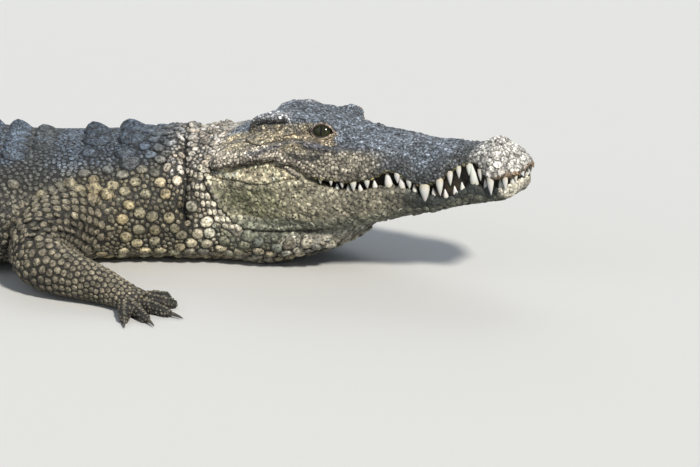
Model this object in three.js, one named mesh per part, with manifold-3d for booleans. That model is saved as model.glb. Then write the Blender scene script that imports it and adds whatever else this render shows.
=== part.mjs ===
// A Nile crocodile, life size, lying on its belly: head turned to its right and lifted a little, jaws just
// open, tail in a slow curve. Millimetres, +Z up, +X towards the shoulders' front, +Y the animal's left.
// Distances "behind" are measured along the spine from the back of the skull table, towards the tail tip.
import * as THREE from "three";
import { mergeVertices } from "three/addons/utils/BufferGeometryUtils.js";
import Module from "manifold-3d";

const wasm = await Module();
wasm.setup();

// ---------------------------------------------------------------- driving dimensions
const HEAD_LENGTH = 478; // snout tip to the back of the skull table
const SPINE_LENGTH = 3020; // back of the skull table to the tail tip
const HEAD_YAW = -27; // degrees: the head looks towards its own right
const HEAD_PITCH = 7; // degrees: the snout is lifted
const JAW_LINE_HEIGHT = 150; // floor to the line of the teeth, under the back of the skull
const TAIL_SWING = -34; // degrees: how far the tail's middle points off the trunk's line
const CUT = 0.4; // width of the cuts between neighbouring parts
const FLAT_SINK = 5; // how far soft undersides press into the floor before they are cut flat

const THROAT_END = -200; // distances along the spine where the body is divided
const JAW_CORNER = -45;
const NECK_END = 272;
const TRUNK_END = 1240;
const TAIL_BASE_END = 1800;
const TAIL_MIDDLE_END = 2400;

// ---------------------------------------------------------------- curves through named stations
const clamp = (value, low, high) => Math.min(high, Math.max(low, value));
const ease = (x, from, to) => {
  const t = clamp((x - from) / (to - from), 0, 1);
  return t * t * (3 - 2 * t);
};
const smoothMax = (a, b, blend) => {
  const h = Math.max(blend - Math.abs(a - b), 0) / blend;
  return Math.max(a, b) + (h * h * blend) / 4;
};

// A smooth function through [x, value] stations that never overshoots them.
function through(stations) {
  const slope = stations.map((_, i) => {
    if (i === 0 || i === stations.length - 1) return 0;
    const [x0, y0] = stations[i - 1];
    const [x1, y1] = stations[i];
    const [x2, y2] = stations[i + 1];
    const before = (y1 - y0) / (x1 - x0);
    const after = (y2 - y1) / (x2 - x1);
    return before * after > 0 ? (2 * before * after) / (before + after) : 0;
  });
  return (x) => {
    const last = stations.length - 1;
    if (x <= stations[0][0]) return stations[0][1];
    if (x >= stations[last][0]) return stations[last][1];
    const i = stations.findIndex(([at]) => at > x) - 1;
    const [x0, y0] = stations[i];
    const [x1, y1] = stations[i + 1];
    const span = x1 - x0;
    const t = (x - x0) / span;
    const rise = (1 + 2 * t) * (1 - t) ** 2 * y0 + t * t * (3 - 2 * t) * y1;
    return rise + span * (t * (1 - t) ** 2 * slope[i] - t * t * (1 - t) * slope[i + 1]);
  };
}

// ---------------------------------------------------------------- solids
// A closed geometry from a row of rings with the same number of points, capped at both ends.
function loft(rings) {
  const count = rings[0].length;
  const points = rings.flat();
  const faces = [];
  for (let i = 0; i < rings.length - 1; i++) {
    for (let j = 0; j < count; j++) {
      const next = (j + 1) % count;
      const [a, b] = [i * count + j, i * count + next];
      faces.push(a, b, b + count, a, b + count, a + count);
    }
  }
  for (const [ring, first, turned] of [[rings[0], 0, true], [rings.at(-1), (rings.length - 1) * count, false]]) {
    const middle = ring.reduce((sum, p) => sum.add(p), new THREE.Vector3()).divideScalar(count);
    points.push(middle);
    for (let j = 0; j < count; j++) {
      const [a, b] = [first + j, first + ((j + 1) % count)];
      faces.push(points.length - 1, ...(turned ? [b, a] : [a, b]));
    }
  }
  return new THREE.BufferGeometry().setFromPoints(points).setIndex(faces);
}

function solid(geometry) {
  const bare = new THREE.BufferGeometry().setAttribute("position", geometry.getAttribute("position"));
  bare.setIndex(geometry.index);
  const merged = mergeVertices(bare, 1e-3);
  const faces = new Uint32Array(merged.index.array);
  const build = () =>
    new wasm.Manifold(
      new wasm.Mesh({ numProp: 3, vertProperties: merged.attributes.position.array, triVerts: faces }),
    );
  const made = build();
  if (made.volume() > 0) return made;
  faces.reverse();
  return build();
}

const largest = (made) => made.decompose().sort((a, b) => b.volume() - a.volume())[0];

// ---------------------------------------------------------------- the spine
const headingAt = (behind) => {
  const neckTurn = HEAD_YAW * (1 - ease(behind, -20, 300));
  const tailTurn = TAIL_SWING * ease(behind, 1250, 2250) * (1 - 0.9 * ease(behind, 2250, 3000));
  return THREE.MathUtils.degToRad(neckTurn + tailTurn);
};
const SPINE_STEP = 5;
const spine = [new THREE.Vector3()];
for (let d = 0; d < SPINE_LENGTH + 50; d += SPINE_STEP) {
  const heading = headingAt(d + SPINE_STEP / 2);
  const step = new THREE.Vector3(-Math.cos(heading), -Math.sin(heading), 0).multiplyScalar(SPINE_STEP);
  spine.push(spine.at(-1).clone().add(step));
}

// Where the spine's line crosses the floor plan, with the directions forward and left there.
function bodyFrame(behind) {
  const heading = headingAt(behind);
  const forward = new THREE.Vector3(Math.cos(heading), Math.sin(heading), 0);
  const left = new THREE.Vector3(-Math.sin(heading), Math.cos(heading), 0);
  const i = clamp(Math.floor(behind / SPINE_STEP), 0, spine.length - 2);
  const origin = spine[i].clone().addScaledVector(forward, i * SPINE_STEP - behind);
  return { origin, forward, left };
}
const bodyPoint = (behind, out, height) => {
  const { origin, left } = bodyFrame(behind);
  return origin.clone().addScaledVector(left, out).setZ(height);
};

// ---------------------------------------------------------------- neck, trunk and tail
const bodyHalfWidth = through([
  [-200, 34], [-170, 64], [-130, 90], [-90, 106], [-40, 120], [0, 132], [45, 138], [120, 158], [200, 165], [300, 176],
  [430, 205], [650, 240], [850, 246], [1050, 220], [1170, 178], [1260, 142], [1420, 113], [1700, 80],
  [2000, 56], [2300, 37], [2600, 24], [2850, 13], [3020, 5],
]);
const bodyTop = through([
  [-200, 112], [-150, 122], [-60, 168], [-30, 205], [0, 238], [45, 228], [90, 213], [200, 199], [330, 190],
  [440, 187], [520, 197], [680, 232], [850, 250], [1050, 242], [1180, 218], [1280, 197], [1450, 180],
  [1700, 160], [2000, 138], [2300, 112], [2600, 80], [2850, 44], [3020, 13],
]);
const bodyBottom = through([[-200, 88], [-175, 68], [-135, 40], [-60, 14], [-5, 0]]);
const BODY_WIDEST = 0.44; // share of the height at which the section is widest

function bodyRing(behind, sides, grow = 0) {
  const { origin, left } = bodyFrame(behind);
  const half = bodyHalfWidth(behind) + grow;
  const top = bodyTop(behind) + grow;
  const bottom = bodyBottom(behind) - (behind > -60 ? FLAT_SINK : 0) - grow;
  const widest = bottom + (top - bottom) * BODY_WIDEST;
  const boxy = 2.25 + 0.75 * ease(behind, 350, 700) * (1 - ease(behind, 1150, 1400));
  const ring = [];
  for (let j = 0; j < sides; j++) {
    const angle = (2 * Math.PI * (j + 0.5)) / sides;
    const [c, s] = [Math.cos(angle), Math.sin(angle)];
    const out = half * Math.sign(c) * Math.abs(c) ** (2 / boxy);
    const reach = s > 0 ? top - widest : widest - bottom;
    const height = widest + Math.sign(s) * reach * Math.abs(s) ** (2 / (s > 0 ? 2.1 : 2.8));
    ring.push(origin.clone().addScaledVector(left, out).setZ(Math.max(height, grow ? -1 : 0)));
  }
  return ring;
}

function bodyLength(from, to, rings, sides, grow = 0) {
  const stations = Array.from({ length: rings + 1 }, (_, i) => from + ((to - from) * i) / rings);
  return solid(loft(stations.map((behind) => bodyRing(behind, sides, grow))));
}

// ---------------------------------------------------------------- the head, in its own frame
// x runs forward from the back of the skull table, y to the left, z up from the line of the teeth.
const headTurn = new THREE.Group();
headTurn.position.set(0, 0, JAW_LINE_HEIGHT);
headTurn.rotation.order = "ZYX";
headTurn.rotation.z = THREE.MathUtils.degToRad(HEAD_YAW);
headTurn.rotation.y = -THREE.MathUtils.degToRad(HEAD_PITCH);
headTurn.updateMatrixWorld(true);
const inHead = (x, y, z) => new THREE.Vector3(x, y, z).applyMatrix4(headTurn.matrixWorld);

// Half width of the upper jaw and cheeks, with the pinch behind the nose where a long lower tooth lies.
const headHalfWidth = through([
  [-66, 96], [-55, 116], [-30, 132], [0, 136], [50, 132], [100, 124], [150, 112], [200, 98], [230, 87],
  [260, 77], [285, 71], [310, 69], [330, 67], [350, 63], [370, 55], [385, 47], [397, 43], [408, 45],
  [422, 49], [437, 50], [448, 46], [459, 39], [467, 31], [474, 20], [HEAD_LENGTH, 6],
]);
const headCrown = through([
  [-66, 52], [-30, 68], [10, 78], [60, 80], [100, 76], [130, 70], [160, 69], [180, 66], [202, 61],
  [240, 54], [270, 50], [300, 48], [340, 46], [365, 42], [388, 41], [404, 46], [421, 50], [441, 40],
  [458, 27], [471, 15], [HEAD_LENGTH, 8],
]);
const headWidestLevel = through([
  [-66, 38], [0, 44], [70, 52], [110, 42], [150, 24], [200, 14], [260, 20], [310, 2], [350, 12],
  [397, 26], [440, 10], [HEAD_LENGTH, 8],
]);
// The upper lip: two long downward waves with a notch before each, then up and over at the jaw's corner.
const upperLip = through([
  [-66, 24], [-10, 33], [35, 42], [72, 45], [98, 36], [118, 18], [135, 9], [160, 4], [190, -1],
  [225, 1], [253, 12], [275, 3], [310, -15], [342, -4], [360, 8], [375, 15], [396, 19], [408, 2],
  [420, -7], [450, -7], [469, -3], [HEAD_LENGTH, 1],
]);
const JAWS_PART = 112; // forward of this the lips are apart
const PALATE_RISE = 7;

// The skull table is the flat raised plate behind the eyes, a little hollow along its rear middle.
const tableHalfWidth = through([[0, 58], [130, 58], [150, 48], [180, 24]]);
const tableTop = through([
  [-14, 70], [-6, 96], [4, 104], [27, 108], [60, 104], [90, 98], [130, 91], [152, 82], [180, 66],
]);
const TABLE_REAR_HOLLOW = 10;
const BROW = { x: 126, y: 50, height: 97, length: 34, width: 24 };
const NOSTRIL_MOUND = { x: 420, height: 5, length: 22, width: 20 };

// Height of the head's upper surface: cheeks and snout, the flat skull table, the brows over the eyes.
function craniumTop(x, y, half) {
  const share = clamp(Math.abs(y) / half, 0, 1);
  const shoulder = headWidestLevel(x);
  const side = Math.sqrt(Math.max(0, 1 - share ** 2.3));
  let height = shoulder + (headCrown(x) - shoulder) * side;
  const tableHalf = tableHalfWidth(x);
  const onTable = 1 - ease(Math.abs(y), tableHalf - 6, tableHalf + 8);
  const hollow = TABLE_REAR_HOLLOW * (1 - ease(x, 0, 45)) * Math.max(0, 1 - (y / tableHalf) ** 2);
  const table = (tableTop(x) - hollow) * onTable - 60 * (1 - onTable);
  if (x < 180 && x > -14) height = smoothMax(height, table, 6);
  const browAway = ((x - BROW.x) / BROW.length) ** 2 + ((Math.abs(y) - BROW.y) / BROW.width) ** 2;
  height = smoothMax(height, BROW.height * (1 - 0.35 * browAway), 6);
  const nose = ((x - NOSTRIL_MOUND.x) / NOSTRIL_MOUND.length) ** 2 + (y / NOSTRIL_MOUND.width) ** 2;
  return height + NOSTRIL_MOUND.height * Math.exp(-nose);
}

// Each ring has points at both sides of the table's edge, so that the edge stays crisp.
function craniumRing(x, grow = 0) {
  const half = headHalfWidth(x) + grow;
  const lip = upperLip(x) - grow;
  const palate = lip + PALATE_RISE * ease(x, JAWS_PART, JAWS_PART + 30) * (grow ? 0 : 1);
  const edge = Math.min(tableHalfWidth(x), 0.5 * half);
  const wall = edge + 8 * Math.min(1, half / 60);
  const outward = [0.5 * edge, edge - 5, wall, (wall + 0.9 * half) / 2, 0.92 * half, half];
  const across = [...outward.map((y) => -y).reverse(), 0, ...outward];
  const ring = across.map((y) => [y, craniumTop(x, y, half) + grow]);
  ring.push([0.95 * half, lip], [0.72 * half, palate], [-0.72 * half, palate], [-0.95 * half, lip]);
  return ring.map(([y, z]) => inHead(x, y, z));
}

const span = (from, to, count) => Array.from({ length: count + 1 }, (_, i) => from + ((to - from) * i) / count);
const craniumStations = [
  -66, -54, -32, -12, 3, 27, 62, 94, 112, 130, 150, 180, 204, 230, 253, 276, 296, 312, 330, 350,
  370, 396, 409, 422, 438, 452, 464, HEAD_LENGTH - 5, HEAD_LENGTH,
];

// ---------------------------------------------------------------- the lower jaw
const JAW_LENGTH = 473;
const LIP_GAP = 0.6; // between the closed parts of the lips
const jawTopAhead = through([
  [100, 34], [118, 14], [134, 2], [165, -10], [202, -15], [249, -11], [271, -15], [295, -23], [345, -33],
  [372, -24], [392, -13], [411, -21], [443, -20], [460, -13], [JAW_LENGTH, -7],
]);
const jawTop = (x) => Math.min(upperLip(x) - LIP_GAP, jawTopAhead(x));
const jawTopOrCheek = (x) => (x < 100 ? upperLip(x) - LIP_GAP : jawTop(x));
const jawBottom = through([
  [-76, -8], [-66, -24], [-42, -56], [-11, -80], [49, -90], [113, -90], [186, -80], [261, -69],
  [312, -61], [354, -53], [392, -49], [429, -46], [450, -39], [464, -27], [JAW_LENGTH, -15],
]);
const jawHalfWidth = through([
  [-76, 92], [-66, 104], [-42, 120], [0, 130], [50, 128], [100, 121], [150, 109], [200, 95], [250, 79],
  [300, 68], [345, 61], [368, 54], [385, 48], [395, 48], [410, 43], [434, 42], [450, 36], [462, 26],
  [JAW_LENGTH, 8],
]);

function jawRing(x, grow = 0) {
  const half = jawHalfWidth(x) + grow;
  const top = jawTopOrCheek(x) + grow;
  const bottom = jawBottom(x) - grow;
  const deep = top - bottom;
  const ring = [
    [-0.9 * half, top],
    [-half, top - 0.2 * deep],
    [-0.99 * half, top - 0.5 * deep],
    [-0.87 * half, top - 0.86 * deep],
    [-0.62 * half, bottom],
    [-0.22 * half, bottom + 3],
  ];
  const mirrored = ring.map(([y, z]) => [-y, z]).reverse();
  const floor = top - 5 * ease(x, JAWS_PART, JAWS_PART + 30);
  return [...ring, ...mirrored, [0.7 * half, floor], [-0.7 * half, floor]].map(([y, z]) => inHead(x, y, z));
}
const jawStations = [
  -76, -64, -40, -8, 44, 98, 116, 134, 165, 200, 228, 252, 274, 296, 345, 368, 393, 410, 436, 454,
  466, JAW_LENGTH,
];

// ---------------------------------------------------------------- teeth
// Each entry is [x along the jaw, visible length, radius at the gum] and stands on both sides.
const UPPER_TEETH = [
  [469, 9, 3.2], [451, 16, 4.4], [424, 21, 5.6], [405, 13, 4], [386, 15, 4.2], [371, 14, 4.2],
  [357, 17, 4.8], [339, 21, 6], [312, 23, 8], [286, 12, 4.8], [267, 12, 4.8], [218, 11, 4.6],
  [196, 13, 5.2], [178, 8, 3.6], [160, 7, 3.2], [143, 6, 3],
];
const LOWER_TEETH = [
  [455, 12, 4.4], [437, 11, 4], [411, 12, 4.2], [392, 29, 6.6], [372, 12, 4.4], [360, 12, 4.2],
  [344, 11, 4.2], [324, 11, 4.2], [292, 10, 4.2], [271, 18, 5.6], [249, 22, 6.6], [227, 11, 4.6],
  [203, 9, 4], [184, 7, 3.6], [166, 7, 3.4],
];
const TOOTH_SIDES = 4;
const TOOTH_ROOT = 5; // how far a tooth reaches into the gum
const TOOTH_LEAN = 0.14; // a tip stands out sideways by this share of its tooth's length

function tooth(x, side, length, radius, upper) {
  const half = upper ? headHalfWidth(x) : jawHalfWidth(x);
  const gum = upper ? upperLip(x) : jawTop(x);
  const way = upper ? -1 : 1;
  const out = upper ? Math.min(0.93 * half, half - radius * 0.4) : 0.9 * half - radius * 0.5;
  const whole = length + TOOTH_ROOT;
  const cone = new THREE.ConeGeometry((radius * whole) / length, whole, TOOTH_SIDES);
  cone.translate(0, (length - TOOTH_ROOT) / 2, 0).rotateX((way * Math.PI) / 2);
  const lean = new THREE.Matrix4().set(1, 0, 0, x, 0, 1, side * way * TOOTH_LEAN, side * out, 0, 0, 1, gum, 0, 0, 0, 1);
  return solid(cone.applyMatrix4(lean).applyMatrix4(headTurn.matrixWorld));
}

function withTeeth(jaw, teeth, upper) {
  const stand = teeth.flatMap(([x, length, radius]) =>
    [-1, 1].map((side) => tooth(x, side, length, radius, upper)),
  );
  return stand.reduce((sum, one) => sum.add(one), jaw);
}

// ---------------------------------------------------------------- eyes
const EYE = { x: 129, y: 50, z: 74, radius: 19 };
const EYE_SEGMENTS = 10;
function eyeball(side, radius, segments) {
  const ball = new THREE.SphereGeometry(radius, segments, Math.round(segments * 0.7));
  const centre = inHead(EYE.x, side * EYE.y, EYE.z);
  return solid(ball.translate(centre.x, centre.y, centre.z));
}

// ---------------------------------------------------------------- tail crest
const WHORL = 39; // length of one ring of tail scales
const CREST_START = 1290;
const CREST_JOIN = 2190; // the two rows of upright scales meet here and go on as one
const CREST_THICKNESS = 7;
const crestHeight = through([
  [CREST_START, 16], [1500, 30], [1900, 42], [2150, 50], [2400, 52], [2700, 40], [2900, 24], [2990, 14],
]);

function crestScale(behind, out) {
  const { forward, left } = bodyFrame(behind);
  const foot = bodyTop(behind) - 14 - 0.35 * Math.abs(out);
  const height = foot + 14 + 0.2 * Math.abs(out) + crestHeight(behind);
  const base = bodyPoint(behind, out, 0);
  const half = WHORL * 0.46;
  const outline = new THREE.Shape();
  outline.moveTo(half, foot);
  outline.lineTo(-half * 0.8, height);
  outline.lineTo(-half, foot);
  outline.closePath();
  const plate = new THREE.ExtrudeGeometry(outline, { depth: CREST_THICKNESS, bevelEnabled: false });
  plate.translate(0, 0, -CREST_THICKNESS / 2);
  const up = new THREE.Vector3(0, 0, 1);
  plate.applyMatrix4(new THREE.Matrix4().makeBasis(forward, up, left.clone().negate()).setPosition(base));
  return solid(plate);
}

function withCrest(tail, from, to) {
  const scales = [];
  const first = CREST_START + Math.ceil((from + WHORL / 2 - CREST_START) / WHORL) * WHORL;
  for (let behind = Math.max(CREST_START, first); behind < to - WHORL / 2; behind += WHORL) {
    const apart = 0.52 * bodyHalfWidth(behind) * (1 - ease(behind, 1900, CREST_JOIN));
    const rows = behind < CREST_JOIN - 60 ? [-apart, apart] : [0];
    scales.push(...rows.map((out) => crestScale(behind, out)));
  }
  return scales.reduce((sum, one) => sum.add(one), tail);
}

// ---------------------------------------------------------------- legs
// A limb's joints are [behind, out from the spine's line, height], in the straight frame of the trunk at its
// root; radii are at the same joints.
const FRONT = {
  joints: [[345, 110, 88], [394, 276, 56], [282, 352, 30], [224, 384, 13]],
  radii: [66, 47, 29, 17],
  palmHalfWidth: 37,
  toes: [
    { turn: -58, length: 54, clawed: true }, { turn: -32, length: 70, clawed: true },
    { turn: -4, length: 76, clawed: true }, { turn: 25, length: 66, clawed: false },
    { turn: 54, length: 52, clawed: false },
  ],
  toeRadius: 10,
  claw: 24,
  web: 0,
};
const HIND = {
  joints: [[1150, 84, 108], [996, 270, 102], [1150, 356, 46], [1052, 424, 15]],
  radii: [96, 63, 37, 21],
  palmHalfWidth: 42,
  toes: [
    { turn: -30, length: 92, clawed: true }, { turn: -8, length: 112, clawed: true },
    { turn: 15, length: 116, clawed: true }, { turn: 38, length: 94, clawed: false },
  ],
  toeRadius: 11.5,
  claw: 30,
  web: 0.6, // how far along the toes the web reaches
};
const LIMB_SIDES = 8;
const TOE_SIDES = 5;
const CLAW_SIDES = 5;

// An oval ring across a limb, its wide axis level, cut flat where it meets the floor.
function ovalRing(centre, along, halfWidth, halfHeight, sides) {
  const across = new THREE.Vector3(-along.y, along.x, 0).normalize();
  const upward = along.clone().normalize().cross(across);
  return span(0, sides - 1, sides - 1).map((k) => {
    const angle = (2 * Math.PI * (k + 0.5)) / sides;
    const point = centre.clone().addScaledVector(across, halfWidth * Math.cos(angle));
    point.addScaledVector(upward, halfHeight * Math.sin(angle));
    return point.setZ(Math.max(0, point.z));
  });
}

function limb(kind, side, shift) {
  const root = kind.joints[0][0];
  const { forward } = bodyFrame(root);
  const joints = kind.joints.map(([behind, out, height], i) =>
    bodyPoint(root, side * out, height).addScaledVector(forward, root - behind - shift[i]),
  );
  const path = new THREE.CatmullRomCurve3(joints, false, "centripetal");
  const radius = through(kind.radii.map((r, i) => [i / 3, r]));
  const ringAt = (t) => {
    const flat = ease(t, 0.62, 1);
    const wide = radius(t) * (1 - flat) + kind.palmHalfWidth * flat;
    const along = path.getTangent(t);
    return ovalRing(path.getPoint(t), along, wide, radius(t), LIMB_SIDES);
  };
  // Each piece is made a little long and cut square across the limb at the joint.
  const cutAt = (made, t, way) => {
    const normal = path.getTangent(t).multiplyScalar(way);
    return made.trimByPlane(normal.toArray(), normal.dot(path.getPoint(t)) + CUT / 2);
  };
  const long = (from, to, rings) => solid(loft(span(from, to, rings).map(ringAt)));
  const [elbow, wrist, over] = [1 / 3, 2 / 3, 0.03];
  return {
    upper: cutAt(long(0, elbow + over, 4), elbow, -1),
    lower: cutAt(cutAt(long(elbow - over, wrist + over, 4), elbow, 1), wrist, -1),
    palm: cutAt(long(wrist - over, 1, 3), wrist, 1),
    end: joints[3],
    heading: joints[3].clone().sub(joints[2]).setZ(0).normalize(),
  };
}

function toePath(kind, leg, side, turn, length) {
  const way = leg.heading.clone().applyAxisAngle(new THREE.Vector3(0, 0, 1), THREE.MathUtils.degToRad(-side * turn));
  const across = new THREE.Vector3(-leg.heading.y, leg.heading.x, 0);
  const spread = -side * (turn / 60) * kind.palmHalfWidth * 0.75;
  const root = leg.end.clone().addScaledVector(across, spread).addScaledVector(leg.heading, -14);
  const knuckle = root.clone().addScaledVector(way, length * 0.5).setZ(kind.toeRadius * 1.25);
  const tip = root.clone().addScaledVector(way, length).setZ(kind.toeRadius * 0.62);
  return { curve: new THREE.QuadraticBezierCurve3(root, knuckle, tip), way, tip };
}

function toe(kind, path) {
  const size = through([[0, 1.1], [0.5, 1], [0.85, 0.86], [1, 0.6]]);
  const rings = [0, 0.5, 0.86, 1].map((t) => {
    const r = kind.toeRadius * size(t);
    return ovalRing(path.curve.getPoint(t), path.way, r, r, TOE_SIDES);
  });
  return solid(loft(rings));
}

function claw(kind, path) {
  const rings = [[0, 0.5], [0.55, 0.36], [1, 0.08]].map(([t, share]) => {
    const centre = path.tip.clone().addScaledVector(path.way, CUT + t * kind.claw);
    centre.z += kind.toeRadius * 0.12 - 4.4 * t * t;
    const r = kind.toeRadius * share;
    return ovalRing(centre, path.way, r * 0.8, r, CLAW_SIDES).map((p) => p.setZ(Math.max(0.5, p.z)));
  });
  return solid(loft(rings));
}

function web(kind, a, b) {
  const outline = new THREE.Shape();
  const corners = [a.curve.getPoint(0.1), a.curve.getPoint(kind.web), b.curve.getPoint(kind.web), b.curve.getPoint(0.1)];
  corners.forEach((p, i) => (i ? outline.lineTo(p.x, p.y) : outline.moveTo(p.x, p.y)));
  const sheet = new THREE.ExtrudeGeometry(outline, { depth: 4, bevelEnabled: false });
  return solid(sheet.translate(0, 0, 3));
}

// ---------------------------------------------------------------- assembly
const crocodile = new THREE.Group();

function show(name, made, material) {
  const mesh = made.getMesh();
  const geometry = new THREE.BufferGeometry();
  geometry.setAttribute("position", new THREE.BufferAttribute(mesh.vertProperties, 3));
  geometry.setIndex(new THREE.BufferAttribute(mesh.triVerts, 1));
  geometry.computeVertexNormals();
  const node = new THREE.Mesh(geometry, material);
  node.name = name;
  crocodile.add(node);
}

const finish = (color, roughness) => new THREE.MeshStandardMaterial({ color, roughness, metalness: 0 });
const skin = finish(0x6f6a52, 0.75);
const eyeFinish = finish(0x55602c, 0.1);
const clawFinish = finish(0x2c2721, 0.5);

const GROWN = 0.45; // clearance round a part that its neighbour is cut back from
// The grown lofts start that much further back too, so the parts' rear faces are cleared as well.
const craniumLoft = (grow) => solid(loft(craniumStations.map((x, i) => craniumRing(i ? x : x - grow, grow))));
const jawLoft = (grow) => solid(loft(jawStations.map((x, i) => jawRing(i ? x : x - grow, grow))));
const headSpace = craniumLoft(GROWN).add(jawLoft(GROWN));

let cranium = withTeeth(craniumLoft(0), UPPER_TEETH, true);
for (const [name, side] of [["eye_right", -1], ["eye_left", 1]]) {
  cranium = cranium.subtract(eyeball(side, EYE.radius + CUT, EYE_SEGMENTS));
  show(name, eyeball(side, EYE.radius, EYE_SEGMENTS), eyeFinish);
}
const jaw = withTeeth(jawLoft(0), LOWER_TEETH, false);
show("head", largest(cranium), skin);
show("lower_jaw", largest(jaw.subtract(cranium)), skin);
show("throat", largest(bodyLength(THROAT_END, JAW_CORNER, 6, 14).subtract(headSpace)), skin);

const NECK = [JAW_CORNER + CUT, NECK_END, 7, 18]; // from, to, rings, sides
const TRUNK = [NECK_END + CUT, TRUNK_END, 12, 18];
const TAIL_BASE = [TRUNK_END + CUT, TAIL_BASE_END, 5, 12];
const TAIL_MIDDLE = [TAIL_BASE_END + CUT, TAIL_MIDDLE_END, 5, 10];
const TAIL_TIP = [TAIL_MIDDLE_END + CUT, SPINE_LENGTH, 6, 6];
show("neck", largest(bodyLength(...NECK).subtract(headSpace)), skin);
show("trunk", bodyLength(...TRUNK), skin);
for (const [name, part] of [["tail_base", TAIL_BASE], ["tail_middle", TAIL_MIDDLE], ["tail_tip", TAIL_TIP]]) {
  show(name, largest(withCrest(bodyLength(...part), part[0], part[1])), skin);
}
const bodySpace = [NECK, TRUNK, TAIL_BASE].map((part) => bodyLength(...part, GROWN)).reduce((sum, one) => sum.add(one));
const limbs = [
  ["front_right", FRONT, -1, [0, 0, 0, 0], ["upper_arm", "forearm"]],
  ["front_left", FRONT, 1, [0, 18, -12, -26], ["upper_arm", "forearm"]],
  ["hind_right", HIND, -1, [0, 0, 0, 0], ["thigh", "shank"]],
  ["hind_left", HIND, 1, [0, 26, 44, 52], ["thigh", "shank"]],
];
for (const [name, kind, side, shift, [upperName, lowerName]] of limbs) {
  const leg = limb(kind, side, shift);
  show(`${name}_${upperName}`, largest(leg.upper.subtract(bodySpace)), skin);
  show(`${name}_${lowerName}`, largest(leg.lower.subtract(bodySpace)), skin);
  const paths = kind.toes.map(({ turn, length }) => toePath(kind, leg, side, turn, length));
  let foot = paths.reduce((sum, path) => sum.add(toe(kind, path)), leg.palm);
  for (let i = 1; kind.web && i < paths.length; i++) foot = foot.add(web(kind, paths[i - 1], paths[i]));
  foot = largest(foot.subtract(leg.lower));
  show(`${name}_foot`, foot, skin);
  kind.toes.forEach(({ clawed }, i) => {
    if (clawed) show(`${name}_claw_${i + 1}`, largest(claw(kind, paths[i]).subtract(foot)), clawFinish);
  });
}

// The origin is on the floor, under the middle of the whole animal.
const reach = new THREE.Box3().setFromObject(crocodile, true);
const middle = reach.getCenter(new THREE.Vector3());
crocodile.position.set(-middle.x, -middle.y, -reach.min.z);

export default crocodile;
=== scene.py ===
import math
import bmesh
import bpy
import numpy as np
from mathutils import Matrix, Vector
from mathutils.bvhtree import BVHTree
from mathutils.kdtree import KDTree


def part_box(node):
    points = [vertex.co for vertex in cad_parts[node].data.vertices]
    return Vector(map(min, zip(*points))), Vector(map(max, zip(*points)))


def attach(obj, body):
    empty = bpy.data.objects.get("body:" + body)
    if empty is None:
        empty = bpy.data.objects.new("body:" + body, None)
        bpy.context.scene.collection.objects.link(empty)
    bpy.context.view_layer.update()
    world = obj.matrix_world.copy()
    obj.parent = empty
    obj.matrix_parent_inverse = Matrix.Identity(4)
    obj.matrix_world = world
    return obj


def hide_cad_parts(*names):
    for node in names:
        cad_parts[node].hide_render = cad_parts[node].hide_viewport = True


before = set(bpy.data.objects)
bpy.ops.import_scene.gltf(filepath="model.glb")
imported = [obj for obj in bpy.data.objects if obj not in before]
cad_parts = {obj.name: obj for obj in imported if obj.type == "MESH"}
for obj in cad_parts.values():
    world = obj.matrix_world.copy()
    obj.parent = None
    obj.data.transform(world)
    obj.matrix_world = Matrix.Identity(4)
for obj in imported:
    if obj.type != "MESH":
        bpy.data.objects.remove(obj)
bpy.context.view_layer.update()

bpy.ops.object.select_all(action="DESELECT")

# ------------------------------------------------------------------ camera, lamps and floor
# The camera stands to the animal's right, a long way off and a little above, so that the head is seen
# nearly side on and the neck runs out of view to the left.
ASIDE, BELOW, AWAY = 0.043, 0.168, 6.452  # metres from the eye to the middle of the view, and to the camera
low, high = (Vector(corner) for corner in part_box("eye_right"))
eye_right = (low + high) / 2
tilt = math.radians(17)
looking = Vector((0, math.cos(tilt), -math.sin(tilt)))
upward = Vector((0, math.sin(tilt), math.cos(tilt)))
bpy.ops.object.camera_add(rotation=(math.radians(90) - tilt, 0, 0))
camera = bpy.context.object
camera.location = eye_right + Vector((ASIDE, 0, 0)) - BELOW * upward - AWAY * looking
camera.data.lens = 200.2
camera.data.sensor_width = 36
camera.data.clip_end = 100
bpy.context.scene.camera = camera

bpy.ops.mesh.primitive_plane_add(size=60, location=(0, 0, 0))
floor = bpy.context.object
floor.name = "floor"


def new_paint(name, finish):
    """A new material, its node tree and the inputs of its shader, set to this finish."""
    material = bpy.data.materials.new(name)
    material.use_nodes = True
    shader = material.node_tree.nodes["Principled BSDF"].inputs
    for key, value in finish.items():
        shader[key].default_value = value
    return material, material.node_tree, shader


def add(tree, kind, *inputs, **values):
    """A shader node, with its settings, and its inputs in order or by name, as values or other outputs."""
    node = tree.nodes.new("ShaderNode" + kind)
    for key, value in [*values.items(), *enumerate(inputs)]:
        if isinstance(key, str) and key not in node.inputs:
            setattr(node, key, value)
        elif isinstance(value, bpy.types.NodeSocket):
            tree.links.new(value, node.inputs[key])
        else:
            node.inputs[key].default_value = value
    return node


def maths(tree, operation, *inputs):
    return add(tree, "Math", *inputs, operation=operation).outputs[0]


def seen_as(tree, plain, pale):
    """A colour that is pale to the camera and in reflections, and plain to the light that it casts."""
    rays = add(tree, "LightPath").outputs
    seen = rays["Is Camera Ray"]
    for other in ("Is Glossy Ray", "Is Transmission Ray"):
        seen = maths(tree, "MAXIMUM", seen, rays[other])
    return add(tree, "Mix", data_type="RGBA", Factor=seen, A=(*plain, 1), B=(*pale, 1)).outputs["Result"]


floor_paint, tree, shader = new_paint("floor_paint", {"Roughness": 0.9})
tree.links.new(seen_as(tree, (0.16, 0.16, 0.15), (0.70, 0.70, 0.68)), shader["Base Color"])
floor.data.materials.append(floor_paint)

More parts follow.
